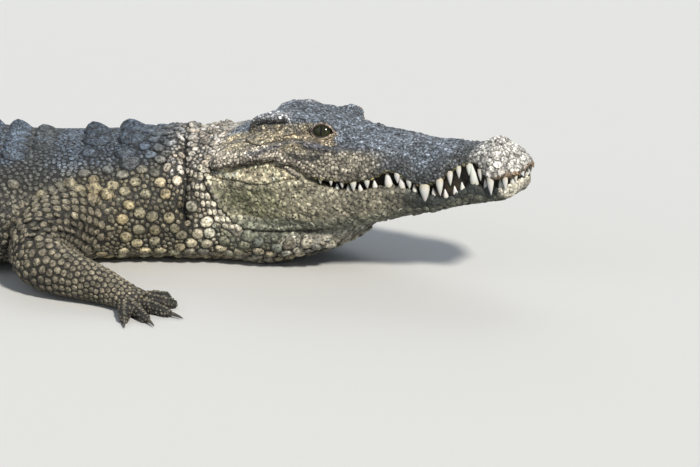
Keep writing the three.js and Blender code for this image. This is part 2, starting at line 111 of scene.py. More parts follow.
world = bpy.data.worlds.new("studio")
bpy.context.scene.world = world
world.use_nodes = True
sky = world.node_tree
sky.links.new(seen_as(sky, (0.20, 0.23, 0.28), (0.86, 0.87, 0.87)), sky.nodes["Background"].inputs["Color"])
sky.nodes["Background"].inputs["Strength"].default_value = 0.9
for place, aim, size, power, colour in (
    ((23.7, -42.0, 41.7), (0.5, 0, 0.1), 6.4, 44000, (1.0, 0.95, 0.87)),  # the main light, far off
    ((-7.5, -5.0, 6.0), (0.0, 0, 0.1), 7.0, 150, (0.88, 0.93, 1.0)),  # a weak cool one on the near side
    ((0.8, 8.5, 7.0), (0.2, 0, 0.1), 8.0, 330, (0.85, 0.92, 1.0)),  # a cool one from the far side
):
    bpy.ops.object.light_add(type="AREA", location=place)
    lamp = bpy.context.object
    lamp.data.size = size
    lamp.data.energy = power
    lamp.data.color = colour
    lamp.rotation_euler = (Vector(place) - Vector(aim)).to_track_quat("Z", "Y").to_euler()
bpy.context.scene.view_settings.view_transform = "Standard"

# ------------------------------------------------------------------ the hide: where the head and spine lie
# The animal lies on its belly with its head turned to its right and lifted a little, and its tail in a slow
# curve. Shapes are worked out in millimetres: along the head from the back of the skull, or behind it along
# the spine, and carried into the frame from the eye's place.
MM = 0.001
HEAD_LENGTH = 478
SPINE_LENGTH = 3020
JAW_LINE_HEIGHT = 150
EYE = np.array([129.0, 50.0, 74.0])
EYE_RADIUS = 19.0
yaw, pitch = math.radians(-27), math.radians(7)
head_forward = np.array([math.cos(yaw) * math.cos(pitch), math.sin(yaw) * math.cos(pitch), math.sin(pitch)])
head_left = np.array([-math.sin(yaw), math.cos(yaw), 0.0])
head_up = np.cross(head_forward, head_left)
head_axes = np.stack([head_forward, head_left, head_up])
skull = np.array(eye_right) / MM - (EYE * [1, -1, 1]) @ head_axes  # the head's origin
skull[2] = JAW_LINE_HEIGHT


def from_head(points):
    return skull + np.asarray(points, float) @ head_axes


def to_head(points):
    return (np.asarray(points) - skull) @ head_axes.T


def folded(local):
    """The same places on the animal's left, for head points of either side."""
    return local * [1, 0, 1] + np.abs(local) * [0, 1, 0]


def ease(x, start, end):
    t = np.clip((x - start) / (end - start), 0, 1)
    return t * t * (3 - 2 * t)


def through(stations):
    """A smooth function through [x, value] stations that never overshoots them."""
    x, y = np.array(stations, float).T
    step = np.diff(y) / np.diff(x)
    before, after = step[:-1], step[1:]
    same_way = before * after > 0
    slope = np.zeros(len(x))
    slope[1:-1] = np.where(same_way, 2 * before * after / np.where(same_way, before + after, 1), 0)

    def at(value):
        value = np.clip(value, x[0], x[-1])
        i = np.clip(np.searchsorted(x, value, side="right") - 1, 0, len(x) - 2)
        span = x[i + 1] - x[i]
        t = (value - x[i]) / span
        rise = (1 + 2 * t) * (1 - t) ** 2 * y[i] + t * t * (3 - 2 * t) * y[i + 1]
        return rise + span * (t * (1 - t) ** 2 * slope[i] - t * t * (1 - t) * slope[i + 1])

    return at


def heading_at(behind):
    neck_turn = -27 * (1 - ease(behind, -20, 300))
    tail_turn = -34 * ease(behind, 1250, 2250) * (1 - 0.9 * ease(behind, 2250, 3000))
    return np.radians(neck_turn + tail_turn)


spine_at = np.arange(0, SPINE_LENGTH + 60, 5.0)
turns = heading_at(spine_at[:-1] + 2.5)
spine_steps = -5 * np.stack([np.cos(turns), np.sin(turns)], 1)
spine = np.vstack([[0, 0], np.cumsum(spine_steps, 0)]) + skull[:2]


def body_axes(behind):
    """Where the spine is over the floor at a distance behind the skull, and forward and left there."""
    behind = np.asarray(behind, float)
    turn = heading_at(behind)
    forward = np.stack([np.cos(turn), np.sin(turn), 0 * turn], -1)
    left = np.stack([-np.sin(turn), np.cos(turn), 0 * turn], -1)
    inside = np.clip(behind, 0, None)
    origin = np.stack([np.interp(inside, spine_at, spine[:, i]) for i in (0, 1)] + [0 * inside], -1)
    return origin - forward * np.minimum(0, behind)[..., None], forward, left


def new_mesh(name, points, faces):
    """A mesh object from millimetre points."""
    mesh = bpy.data.meshes.new(name)
    mesh.from_pydata(np.asarray(points) * MM, [], faces)
    mesh.validate()
    made = bpy.data.objects.new(name, mesh)
    bpy.context.scene.collection.objects.link(made)
    return made


def loft(rings):
    """Points and faces of a closed body from rings with the same number of points."""
    rings = np.asarray(rings)
    rows, count = rings.shape[:2]
    grid = np.arange(rows * count).reshape(rows, count)
    turned = np.roll(grid, -1, 1)
    walls = np.stack([grid[:-1], turned[:-1], turned[1:], grid[1:]], -1).reshape(-1, 4)
    points = np.vstack([rings.reshape(-1, 3), rings[0].mean(0), rings[-1].mean(0)])
    first = [(rows * count, b, a) for a, b in zip(grid[0], turned[0])]
    last = [(rows * count + 1, a, b) for a, b in zip(grid[-1], turned[-1])]
    return points, [tuple(f) for f in walls.tolist()] + first + last


# ------------------------------------------------------------------ the hide: shape of neck, trunk and tail
# Low and wide, with a flat belly on the ground and a nearly flat back, it narrows to a tail that is taller
# than wide. The scales stand on the hide, so it lies their thickness below the animal's outline.
COAT = 3.5
FLAT_SINK = 5  # how far the belly's curve runs below the floor, which then cuts it flat
FLOOR_GAP = 0.8
BODY_WIDEST = 0.44
body_half_width = through([
    [-200, 34], [-170, 64], [-130, 90], [-90, 106], [-40, 120], [0, 132], [45, 138], [120, 158], [200, 165],
    [300, 176], [430, 205], [650, 240], [850, 246], [1050, 220], [1170, 178], [1260, 142], [1420, 113],
    [1700, 80], [2000, 56], [2300, 37], [2600, 24], [2850, 13], [3020, 5]])
body_top = through([
    [-200, 112], [-150, 122], [-60, 168], [-30, 205], [0, 238], [45, 228], [90, 213], [200, 199], [330, 190],
    [440, 187], [520, 197], [680, 232], [850, 250], [1050, 242], [1180, 218], [1280, 197], [1450, 180],
    [1700, 160], [2000, 138], [2300, 112], [2600, 80], [2850, 44], [3020, 13]])
body_bottom = through([[-200, 88], [-175, 68], [-135, 40], [-60, 14], [-5, 0]])


def body_surface(behind, angle, inset=0.0):
    """Points of the body's outline, angle going round from the animal's left side over its back."""
    behind, angle = np.broadcast_arrays(np.asarray(behind, float), np.asarray(angle, float))
    origin, _, left = body_axes(behind)
    depth = np.minimum(inset, body_half_width(behind) * 0.3)
    half = body_half_width(behind) - depth
    top = body_top(behind) - depth
    bottom = body_bottom(behind) - np.where(behind > -60, FLAT_SINK, 0)
    widest = bottom + (top - bottom) * BODY_WIDEST
    boxy = 2.25 + 0.75 * ease(behind, 350, 700) * (1 - ease(behind, 1150, 1400))
    c, s = np.cos(angle), np.sin(angle)
    out = half * np.sign(c) * np.abs(c) ** (2 / boxy)
    reach = np.where(s > 0, top - widest, widest - bottom)
    height = widest + np.sign(s) * reach * np.abs(s) ** (2 / np.where(s > 0, 2.1, 2.8))
    points = origin + left * out[..., None]
    points[..., 2] = np.maximum(height, FLOOR_GAP)
    return points


body_stations = np.concatenate([np.arange(-200, 2900, 9.0), np.arange(2900, SPINE_LENGTH + 1, 6.0)])
round_body = np.linspace(0, 2 * math.pi, 112, endpoint=False) + 0.028  # no point falls on the sharp sides
hide_parts = [loft(body_surface(body_stations[:, None], round_body[None, :], COAT))]

# ------------------------------------------------------------------ the hide: shape of the head
# A long snout that widens back to heavy cheeks, pinched behind the nose, with a flat skull table and raised
# brows. The lip runs in two waves, and the jaws are apart in front of the cheeks.
head_half_width = through([
    [-66, 96], [-55, 116], [-30, 132], [0, 136], [50, 132], [100, 124], [150, 112], [200, 98], [230, 87],
    [260, 77], [285, 71], [310, 69], [330, 67], [350, 63], [370, 55], [385, 47], [397, 43], [408, 45],
    [422, 49], [437, 50], [448, 46], [459, 39], [467, 31], [474, 20], [HEAD_LENGTH, 6]])
head_crown = through([
    [-66, 52], [-30, 68], [10, 78], [60, 80], [100, 76], [130, 70], [160, 69], [180, 66], [202, 61],
    [240, 54], [270, 50], [300, 48], [340, 46], [365, 42], [388, 41], [404, 46], [421, 50], [441, 40],
    [458, 27], [471, 15], [HEAD_LENGTH, 8]])
head_widest_level = through([
    [-66, 38], [0, 44], [70, 52], [110, 42], [150, 24], [200, 14], [260, 20], [310, 2], [350, 12],
    [397, 26], [440, 10], [HEAD_LENGTH, 8]])
upper_lip = through([
    [-66, 24], [-10, 33], [35, 42], [72, 45], [98, 36], [118, 18], [135, 9], [160, 4], [190, -1],
    [225, 1], [253, 12], [275, 3], [310, -15], [342, -4], [360, 8], [375, 15], [396, 19], [408, 2],
    [420, -7], [450, -7], [469, -3], [HEAD_LENGTH, 1]])
table_half_width = through([[0, 58], [130, 58], [150, 48], [180, 24]])
table_top = through([
    [-14, 70], [-6, 96], [4, 104], [27, 108], [60, 104], [90, 98], [130, 91], [152, 82], [180, 66]])
JAW_LENGTH = 473
jaw_top_ahead = through([
    [100, 34], [118, 14], [134, 2], [165, -10], [202, -15], [249, -11], [271, -15], [295, -23], [345, -33],
    [372, -24], [392, -13], [411, -21], [443, -20], [460, -13], [JAW_LENGTH, -7]])
jaw_bottom = through([
    [-76, -8], [-66, -24], [-42, -56], [-11, -80], [49, -90], [113, -90], [186, -80], [261, -69],
    [312, -61], [354, -53], [392, -49], [429, -46], [450, -39], [464, -27], [JAW_LENGTH, -15]])
jaw_half_width = through([
    [-76, 92], [-66, 104], [-42, 120], [0, 130], [50, 128], [100, 121], [150, 109], [200, 95], [250, 79],
    [300, 68], [345, 61], [368, 54], [385, 48], [395, 48], [410, 43], [434, 42], [450, 36], [462, 26],
    [JAW_LENGTH, 8]])


def smooth_max(a, b, blend):
    h = np.maximum(blend - np.abs(a - b), 0) / blend
    return np.maximum(a, b) + h * h * blend / 4


def cranium_top(x, y):
    """Height of the head's upper surface over a place in its plan."""
    share = np.clip(np.abs(y) / head_half_width(x), 0, 1)
    shoulder = head_widest_level(x)
    height = shoulder + (head_crown(x) - shoulder) * np.sqrt(np.clip(1 - share**2.3, 0, 1))
    half = table_half_width(x)
    on_table = 1 - ease(np.abs(y), half - 6, half + 8)
    hollow = 10 * (1 - ease(x, 0, 45)) * np.clip(1 - (y / half) ** 2, 0, 1)
    table = (table_top(x) - hollow) * on_table - 60 * (1 - on_table)
    height = np.where((x < 180) & (x > -14), smooth_max(height, table, 6), height)
    brow_away = ((x - 126) / 34) ** 2 + ((np.abs(y) - 50) / 24) ** 2
    height = smooth_max(height, 97 * (1 - 0.35 * brow_away), 6)
    return height + 5 * np.exp(-(((x - 420) / 22) ** 2) - (y / 20) ** 2)


def jaw_top(x):
    return np.minimum(upper_lip(x) - 0.6, np.where(x < 100, 99, jaw_top_ahead(x)))


def closing(start, end, step):
    """Stations that crowd together towards the rounded front end."""
    rounded = end - 24 * np.cos(np.linspace(0, math.pi / 2, 12))
    return np.concatenate([np.arange(start, end - 24, step), rounded])


stations = closing(-66.0, HEAD_LENGTH, 2.5)[:, None]
across = np.sin(np.linspace(-math.pi / 2, math.pi / 2, 85))[None, :] * head_half_width(stations)
over = np.stack([stations + 0 * across, across, cranium_top(stations, across)], -1)
half, lip = head_half_width(stations), upper_lip(stations)
palate = lip + 7 * ease(stations, 112, 142)
under = [(0.998, 0.5), (0.985, 0.2), (0.96, 0.04), (0.92, 0)]
lips = [(share * half, lip + rise * (head_widest_level(stations) - lip)) for share, rise in under]
lips += [(0.84 * half, lip + 0.35 * (palate - lip)), (0.72 * half, palate), (0.3 * half, palate)]
sides = lips + [(-y, z) for y, z in reversed(lips)]
below = np.stack([np.concatenate([stations, y, z], 1) for y, z in sides], 1)
hide_parts.append(loft(from_head(np.concatenate([over, below], 1))))

stations = closing(-76.0, JAW_LENGTH, 2.5)[:, None]
half, top = jaw_half_width(stations), jaw_top(stations)
bottom = jaw_bottom(stations)
jaw_side = np.array([[0.84, 0], [0.93, 0.03], [1, 0.2], [0.99, 0.5], [0.87, 0.86], [0.62, 1], [0.22, 0.97]])
jaw_out, jaw_down = (through(list(zip(range(7), column))) for column in jaw_side.T)
steps = np.linspace(0, 6, 25)[None, :]
wall_out, wall_down = half * jaw_out(steps), top - (top - bottom) * jaw_down(steps)
mouth_floor = np.concatenate([0 * top + 0.7 * half, 0 * top - 0.7 * half], 1)
floor_level = np.repeat(top - 5 * ease(stations, 112, 142), 2, 1)
ring_y = np.concatenate([-wall_out, wall_out[:, ::-1], mouth_floor], 1)
ring_z = np.concatenate([wall_down, wall_down[:, ::-1], floor_level], 1)
hide_parts.append(loft(from_head(np.stack([stations + 0 * ring_y, ring_y, ring_z], -1))))

# ------------------------------------------------------------------ the hide: shape of the legs
# Four sprawled legs with the elbows and knees out, each foot flat on the ground. The front foot has five
# free toes, the hind foot four, webbed; the first three of each bear claws.
FRONT = dict(
    joints=[[345, 110, 88], [394, 276, 56], [282, 352, 30], [224, 384, 13]], radii=[66, 47, 29, 17], palm=37,
    turns=[-58, -32, -4, 25, 54], lengths=[54, 70, 76, 66, 52], toe=10, web=0, claw=24)
HIND = dict(
    joints=[[1150, 84, 108], [996, 270, 102], [1150, 356, 46], [1052, 424, 15]], radii=[96, 63, 37, 21],
    palm=42, turns=[-30, -8, 15, 38], lengths=[92, 112, 116, 94], toe=11.5, web=0.6, claw=30)


class Leg:
    """One leg: its path from the trunk to the ball of the foot, and its toes."""

    def __init__(self, kind, side, shift):
        self.kind, self.side = kind, side
        root = kind["joints"][0][0]
        origin, forward, left = body_axes(root)
        self.joints = np.array([
            origin + left * side * out + forward * (root - behind - moved) + [0, 0, height]
            for (behind, out, height), moved in zip(kind["joints"], shift)])
        self.radius = through([[i / 3, r] for i, r in enumerate(kind["radii"])])
        heading = (self.joints[3] - self.joints[2]) * [1, 1, 0]
        self.heading = heading / np.linalg.norm(heading)
        self.across = np.array([-self.heading[1], self.heading[0], 0])

    def point(self, t):
        """A centripetal curve through the joints."""
        j = self.joints
        ends = np.vstack([2 * j[0] - j[1], j, 2 * j[3] - j[2]])
        i = min(int(t * 3), 2)
        p = ends[i:i + 4]
        gap = [max(1e-4, np.linalg.norm(p[k + 1] - p[k]) ** 0.5) for k in range(3)]
        m1 = ((p[1] - p[0]) / gap[0] - (p[2] - p[0]) / (gap[0] + gap[1]) + (p[2] - p[1]) / gap[1]) * gap[1]
        m2 = ((p[2] - p[1]) / gap[1] - (p[3] - p[1]) / (gap[1] + gap[2]) + (p[3] - p[2]) / gap[2]) * gap[1]
        s = t * 3 - i
        return ((2 * s**3 - 3 * s**2 + 1) * p[1] + (s**3 - 2 * s**2 + s) * m1
                + (3 * s**2 - 2 * s**3) * p[2] + (s**3 - s**2) * m2)

    def ring(self, t, angles, inset=0.0):
        along = self.point(min(1, t + 1e-3)) - self.point(max(0, t - 1e-3))
        flat = ease(t, 0.62, 1)
        radius = float(self.radius(t))
        wide = radius * (1 - flat) + self.kind["palm"] * flat
        return oval(self.point(t), along, wide - inset, radius - inset, angles)

    def toe_path(self, turn, length, t):
        way = np.array(Matrix.Rotation(math.radians(-self.side * turn), 3, "Z") @ Vector(self.heading))
        spread = -self.side * (turn / 60) * self.kind["palm"] * 0.75
        root = self.joints[3] + self.across * spread - self.heading * 14
        knuckle, tip = root + way * length * 0.5, root + way * length
        knuckle[2], tip[2] = self.kind["toe"] * 1.25, self.kind["toe"] * 0.62
        return root * (1 - t) ** 2 + 2 * knuckle * t * (1 - t) + tip * t * t, way


def oval(centre, along, wide, tall, angles):
    across = np.array([-along[1], along[0], 0.0])
    across /= np.linalg.norm(across)
    upright = np.cross(along / np.linalg.norm(along), across)
    ring = centre + np.cos(angles)[:, None] * across * wide + np.sin(angles)[:, None] * upright * tall
    ring[:, 2] = np.maximum(ring[:, 2], FLOOR_GAP)
    return ring


legs = {
    "front_right": Leg(FRONT, -1, [0, 0, 0, 0]), "front_left": Leg(FRONT, 1, [0, 18, -12, -26]),
    "hind_right": Leg(HIND, -1, [0, 0, 0, 0]), "hind_left": Leg(HIND, 1, [0, 26, 44, 52])}
round_leg = np.linspace(0, 2 * math.pi, 40, endpoint=False)
toe_size = through([[0, 1.12], [0.3, 0.98], [0.5, 1.08], [0.68, 0.9], [0.85, 0.94], [1, 0.62]])
for leg in legs.values():
    hide_parts.append(loft([leg.ring(t, round_leg, 1.5) for t in np.linspace(0, 1, 60)]))
    toes = list(zip(leg.kind["turns"], leg.kind["lengths"]))
    for turn, length in toes:
        rings = []
        for t in np.linspace(0, 1, 22):
            centre, way = leg.toe_path(turn, length, t)
            size = leg.kind["toe"] * float(toe_size(t)) - 0.5
            rings.append(oval(centre, way, size, size, round_leg[::2]))
        hide_parts.append(loft(rings))
    for one, other in zip(toes, toes[1:]):
        reach = leg.kind["web"] or 0.22
        web = []
        level = 5.5 if leg.kind["web"] else 8
        for t in np.linspace(0.02, reach, 8):
            a, b = leg.toe_path(*one, t)[0][:2], leg.toe_path(*other, t)[0][:2]
            between = a * 0.5 + b * 0.5
            sag = 1 - 0.25 * (t / reach)
            web.append([[*a, level + 2], [*between, level + 2 * sag], [*b, level + 2],
                        [*b, level - 2.4], [*between, level - 2.4], [*a, level - 2.4]])
        hide_parts.append(loft(web))

# ------------------------------------------------------------------ the hide: one skin over all of it
# The parts are run together into one closed skin, with the tongue low between the jaws. The trunk, tail and
# legs, which scales cover, are thinned, and the skin round the eyes, ears and nostrils is divided finer.
tongue = []
for x in np.linspace(100, 440, 40):
    wide, high, deep = float(jaw_half_width(x)) * 0.62, float(upper_lip(x)) + 5, float(jaw_top(x)) - 8
    right = [[x, -wide, high - 4], [x, -wide, deep]]
    tongue.append([[x, wide, deep], [x, wide, high - 4], [x, wide - 6, high], [x, 6 - wide, high]] + right)
hide_parts.append(loft(from_head(np.array(tongue))))
offset, all_points, all_faces = 0, [], []
for points, faces in hide_parts:
    all_points.append(points)
    all_faces += [tuple(i + offset for i in face) for face in faces]
    offset += len(points)
hide = new_mesh("hide", np.vstack(all_points), all_faces)


def work_on(piece):
    """Makes this the only selected piece and the active one."""
    bpy.ops.object.select_all(action="DESELECT")
    bpy.context.view_layer.objects.active = piece
    piece.select_set(True)


def apply(kind, **settings):
    """Adds a modifier of this kind to the active piece and applies it."""
    modifier = bpy.context.object.modifiers.new(kind.lower(), kind)
    for key, value in settings.items():
        setattr(modifier, key, value)
    bpy.ops.object.modifier_apply(modifier=modifier.name)


def read(piece, what="co"):
    """The points of a piece, in metres, or its normals."""
    flat = np.empty(len(piece.data.vertices) * 3)
    piece.data.vertices.foreach_get(what, flat)
    return flat.reshape(-1, 3)


def edit(piece, chosen, operator, **settings):
    """Runs an edit mode operator on the chosen vertices of the active piece."""
    for elements in (piece.data.polygons, piece.data.edges):
        elements.foreach_set("select", np.zeros(len(elements), bool))
    piece.data.vertices.foreach_set("select", chosen)
    bpy.ops.object.mode_set(mode="EDIT")
    bpy.ops.mesh.select_mode(type="VERT")
    operator(**settings)
    bpy.ops.object.mode_set(mode="OBJECT")


VOXEL = 0.0031
PLAIN_BEHIND = -380  # the skin behind this is thinned at once, and the rest when it has its folds and lids
work_on(hide)
apply("REMESH", mode="VOXEL", voxel_size=VOXEL, use_smooth_shade=True)
apply("SMOOTH", factor=0.5, iterations=2)
edit(hide, to_head(read(hide) / MM)[:, 0] < PLAIN_BEHIND, bpy.ops.mesh.decimate, ratio=0.1)
local = folded(to_head(read(hide) / MM))
near_eye = np.linalg.norm(local - EYE, axis=1) < 38
near_ear = (np.abs(local[:, 0] - 34) < 46) & (np.abs(local[:, 1] - 62) < 10) & (local[:, 2] > 72)
near_nostril = np.linalg.norm(local - [431, 13, 52], axis=1) < 16
edit(hide, near_eye | near_ear | near_nostril, bpy.ops.mesh.subdivide, number_cuts=1)
local = folded(to_head(read(hide) / MM))
near_eye = np.linalg.norm(local - EYE, axis=1) < 29
edit(hide, near_eye & (local[:, 1] > 48), bpy.ops.mesh.subdivide, number_cuts=1)
apply("SMOOTH", factor=0.5, iterations=2)

# ------------------------------------------------------------------ the hide: folds, ridges and pits
# Over bone the skin is thin and follows its ridges, and behind the jaws and at the shoulders it is loose and
# lies in deep folds. Each stroke is a line on the skin with its width, and how far it stands out or is sunk.


def from_body(stations):
    """Frame points from [behind, out, height] stations."""
    behind, out, height = np.array(stations, float).T
    origin, _, left = body_axes(behind)
    return origin + left * out[:, None] + np.stack([0 * height, 0 * height, height], 1)


def nearest_skin(points):
    """The place on the skin nearest to each point, and the way that the skin faces there."""
    found = [skin_tree.find_nearest(Vector(p * MM)) for p in points]
    return np.array([f[0] for f in found]) / MM, np.array([f[1] for f in found])


def gone_along(line):
    """How far along a line each of its points is."""
    return np.concatenate([[0], np.cumsum(np.linalg.norm(np.diff(line, axis=0), axis=1))])


def on_skin(line, depth=0.0):
    """The line rounded off, cut into short steps and laid on the skin, or at a depth over or under it."""
    line = np.array(line, float)
    if len(line) > 2:
        gone = gone_along(line)
        smooth = [through(np.stack([gone, line[:, i]], 1)) for i in range(3)]
        at = np.arange(0, gone[-1] + 2.5, 2.5)
        line = np.stack([one(at) for one in smooth], 1)
    else:
        line = line[0] + np.linspace(0, 1, 6)[:, None] * (line[1] - line[0])
    place, facing = nearest_skin(line)
    return place + facing * depth


def off_line(points, line):
    """Each point's distance from a line of close stations."""
    best = np.full(len(points), 1e9)
    for station in line:
        best = np.minimum(best, ((points - station) ** 2).sum(1))
    return np.sqrt(best)


def beside(points, line, reach):
    """The points in the box that a line and its reach fill, and how far from the line each of them is."""
    near = np.flatnonzero(np.all((points > line.min(0) - reach) & (points < line.max(0) + reach), axis=1))
    return near, off_line(points[near], line)


creases = []


def stroke(points, moved, line, width, depth):
    """Adds one stroke's share of how far each point moves, and keeps all but the widest for the painted shade
    and light in the colours.
    """
    if width < 9:
        creases.append((on_skin(line, depth), width, depth))
    near, apart = beside(points, on_skin(line), width * 2.6)
    moved[near] += depth * np.exp(-((apart / width) ** 2))


ear = [[-10, 61, 74], [-7, 60, 82], [2, 60, 88], [18, 61, 91], [40, 61, 91], [62, 60, 92]]
eye_crease = [[112, 66, 79], [91, 66, 76], [78, 76, 74], [65, 87, 73], [50, 90, 73]]
temple_edge = [[3, 93, 69], [25, 108, 67], [43, 110, 67], [58, 102, 70], [78, 93, 70], [106, 79, 68]]
cheek_ridge = [[30, 131, 55], [52, 126, 58], [64, 116, 64], [83, 104, 67], [105, 93, 65], [127, 90, 58],
               [152, 85, 54], [167, 86, 49]]
eye_pit = [[98, 119, 55], [115, 117, 47], [128, 113, 44], [142, 104, 45]]
under_ridge = [[44, 128, 53], [62, 119, 59], [84, 108, 62], [106, 98, 59], [128, 94, 52], [150, 88, 48]]
FOLD_LEVELS = [-61, -32, 0, 22, 44, 68, 95, 109], [11, 11, 9, 4, 3, 7, 11, 11]
MOUTH_LEVELS = [-60, -35, 0, 30, 58, 76, 93, 109], [24, 26, 32, 38, 40, 35, 24, 13]
cheek_fold = [[x, float(jaw_half_width(x)), z] for x, z in zip(*FOLD_LEVELS)]
mouth_line = [[x, float(head_half_width(x)), z] for x, z in zip(*MOUTH_LEVELS)]
head_strokes = [
    (ear, 2.8, -7), (np.array(ear) + [0, -3, 8], 5.5, 3.2), (np.array(ear) + [0, 5, -8], 5, 1.5),
    (eye_crease, 2.9, -6), (np.array(eye_crease) + [0, -1, 5], 3.5, 2.2),
    (np.array(eye_crease) + [0, 4, -5], 3, 1.2),
    (temple_edge, 2.0, -3.4), (np.array(temple_edge) + [0, -6, 4], 4, 1.4),
    (cheek_ridge, 5, 3.5), (under_ridge, 2.0, -3),
    (eye_pit, 3.2, -4.5), (np.array(eye_pit) + [0, 4, -9], 4, 1.5),
    (cheek_fold, 1.5, -3.4), (np.array(cheek_fold) - [0, 0, 7], 5, 2),
    (np.array(cheek_fold) + [0, 0, 6], 5, 1.4),
    (mouth_line, 1.8, -4), (np.array(mouth_line) + [0, 1, 7], 5, 2.2),
    ([[170, 38, 66], [205, 54, 53], [233, 57, 45], [270, 59, 38]], 7, 3),
    ([[182, 12, 66], [230, 14, 56], [300, 15, 49], [350, 14, 46]], 5, 1.6),
    ([[150, 84, 54], [172, 62, 56], [196, 40, 60]], 5, -1.8),
    ([[164, 22, 78], [176, 12, 74], [182, 0, 73]], 5, 2.4),
    ([[420, 9, 58], [426, 15, 57], [434, 17, 55], [441, 14, 52]], 2.8, -5),
    ([[416, 12, 58], [424, 21, 54], [436, 23, 50], [447, 17, 48]], 4, 1.6),
    ([[428, 8, 59], [438, 8, 56]], 4, 1.6),
    ([[362, 10, 44], [364, 36, 38], [362, 52, 22]], 2, -1.5),
    ([[370, 10, 43], [373, 34, 37], [371, 48, 22]], 2, -1.5),
    ([[379, 8, 43], [382, 32, 38], [380, 44, 24]], 2, -1.5),
    ([[-6, 0, 92], [60, 0, 98], [110, 0, 92]], 16, -2.5),
    ([[96, 33, 97], [126, 31, 96], [152, 30, 88]], 4, -1.6),
]
for x, radius in ((451, 4.4), (424, 5.6), (339, 6), (312, 8), (286, 5), (196, 5)):  # swellings over big teeth
    y, lip = float(head_half_width(x)), float(upper_lip(x))
    head_strokes.append(([[x, y, lip + 7], [x - 1, y, lip + 16]], radius + 2, 1.8))
for x, radius in ((437, 4), (392, 6.6), (271, 5.6), (249, 6.6), (227, 4.6)):
    y, lip = float(jaw_half_width(x)), float(jaw_top(x))
    head_strokes.append(([[x, y, lip - 5], [x - 1, y, lip - 12]], radius + 2, 1.6))
jaw_edge = from_head([[-68, 129, 20], [-63, 136, 7], [-53, 139, -14], [-39, 137, -35], [-24, 133, -53],
                      [-8, 130, -69], [3, 127, -77], [38, 116, -82], [74, 106, -84], [104, 95, -84],
                      [134, 88, -81], [155, 75, -82], [173, 68, -81]])
band_edge = from_head([[-96, 122, 34], [-84, 143, 3], [-69, 143, -26], [-55, 140, -49], [-39, 134, -68],
                       [-20, 125, -87]])
body_strokes = [
    ([[168, 20, 203], [150, 47, 199], [145, 86, 189], [135, 112, 176], [120, 139, 149], [120, 155, 113],
      [110, 154, 85]], 6, -11),
    ([[186, 30, 203], [168, 50, 199], [163, 90, 187], [153, 118, 172], [139, 145, 145], [138, 158, 110],
      [128, 158, 80]], 8, 4),
    ([[196, 51, 195], [184, 98, 180], [172, 128, 160], [158, 150, 135]], 3, -3.5),
]
outer = np.array([[450, 207, 69], [430, 238, 101], [395, 235, 119], [360, 227, 118], [330, 214, 99],
                  [305, 176, 63]])
inner = np.array([[438, 300, 72], [412, 290, 92], [385, 272, 98], [350, 250, 86], [335, 216, 62],
                  [330, 200, 48]])
for k in range(6):  # the wrinkles of the elbow
    body_strokes.append((outer + (inner - outer) * k / 4.5, 3.2, -3.5))


def ripple(points, length, seed, waves=12):
    """Smooth unevenness between about -1 and 1, with this wavelength in millimetres."""
    rng = np.random.default_rng(seed)
    total = 0
    for _ in range(waves):
        way = rng.normal(size=3)
        way *= 2 * math.pi / length / np.linalg.norm(way) * rng.uniform(0.7, 1.4)
        total = total + np.sin(points @ way + rng.uniform(0, 6.28))
    return total / math.sqrt(waves / 2) / 1.6


skin_tree = BVHTree.FromObject(hide, bpy.context.evaluated_depsgraph_get())
folds = [from_head(np.array(line) * [1, side, 1]) for line, width, depth in head_strokes for side in (-1, 1)
         if width < 3]
folds += [from_head(to_head(line) * [1, side, 1]) for line in (jaw_edge, band_edge) for side in (-1, 1)]
points = read(hide) / MM
beside_fold = np.zeros(len(points), bool)
for line in folds:
    near, apart = beside(points, on_skin(line), 6)
    beside_fold[near] |= apart < 6
local = np.abs(to_head(points))
beside_fold &= ~((np.abs(local[:, 1] - 62) < 10) & (local[:, 2] > 72) & (local[:, 0] < 80))
edit(hide, beside_fold, bpy.ops.mesh.subdivide, number_cuts=1)
points, normals = read(hide) / MM, read(hide, "normal")
moved = np.zeros(len(points))
skin_tree = BVHTree.FromObject(hide, bpy.context.evaluated_depsgraph_get())
for side in (-1, 1):
    for line, width, depth in head_strokes:
        stroke(points, moved, from_head(np.array(line) * [1, side, 1]), width, depth)
    for line, width, depth in body_strokes:
        stroke(points, moved, from_body(np.array(line) * [1, side, 1]), width, depth)
    jaw_line, band_line = ((to_head(line) * [1, side, 1]) for line in (jaw_edge, band_edge))
    stroke(points, moved, from_head(jaw_line), 2.3, -5.5)
    stroke(points, moved, from_head(jaw_line[:9] + [5, 0, 7]), 6, 2.5)
    stroke(points, moved, from_head(band_line), 2.2, -3.5)
    for share in (0.33, 0.66):
        stroke(points, moved, from_head(jaw_line[:6] + (band_line - jaw_line[:6]) * share), 1.7, -2.2)
x, y, z = to_head(points).T
in_mouth = (x > 112) & (np.abs(y) < 0.86 * head_half_width(x)) & (z < upper_lip(x) + 9) & (z > jaw_top(x) - 7)
rough = np.where(in_mouth, 0, ease(x, -40, 60) * (1 - 0.5 * ease(x, 380, 420)))
moved += rough * (0.9 * ripple(points, 26, 1) + 0.6 * ripple(points, 11, 2))
points += normals * moved[:, None]

# ------------------------------------------------------------------ the hide: eyelids
# Round each eye the skin makes two lids. They lie on the eyeball, are thickest at their edges, and meet in a
# point at the front where the eye's inner corner runs down towards the snout.
GAZE = {}  # for each side: the eye's middle, and the ways it looks, forward over it and up over it
for side in (-1, 1):
    centre = from_head(EYE * [1, side, 1])
    gaze = from_head(EYE * [1, side, 1] + [6, side * 30, 9]) - centre
    gaze /= np.linalg.norm(gaze)
    ahead = head_forward - gaze * (head_forward @ gaze)
    ahead /= np.linalg.norm(ahead)
    GAZE[side] = centre, gaze, ahead, np.cross(gaze, ahead) * -side


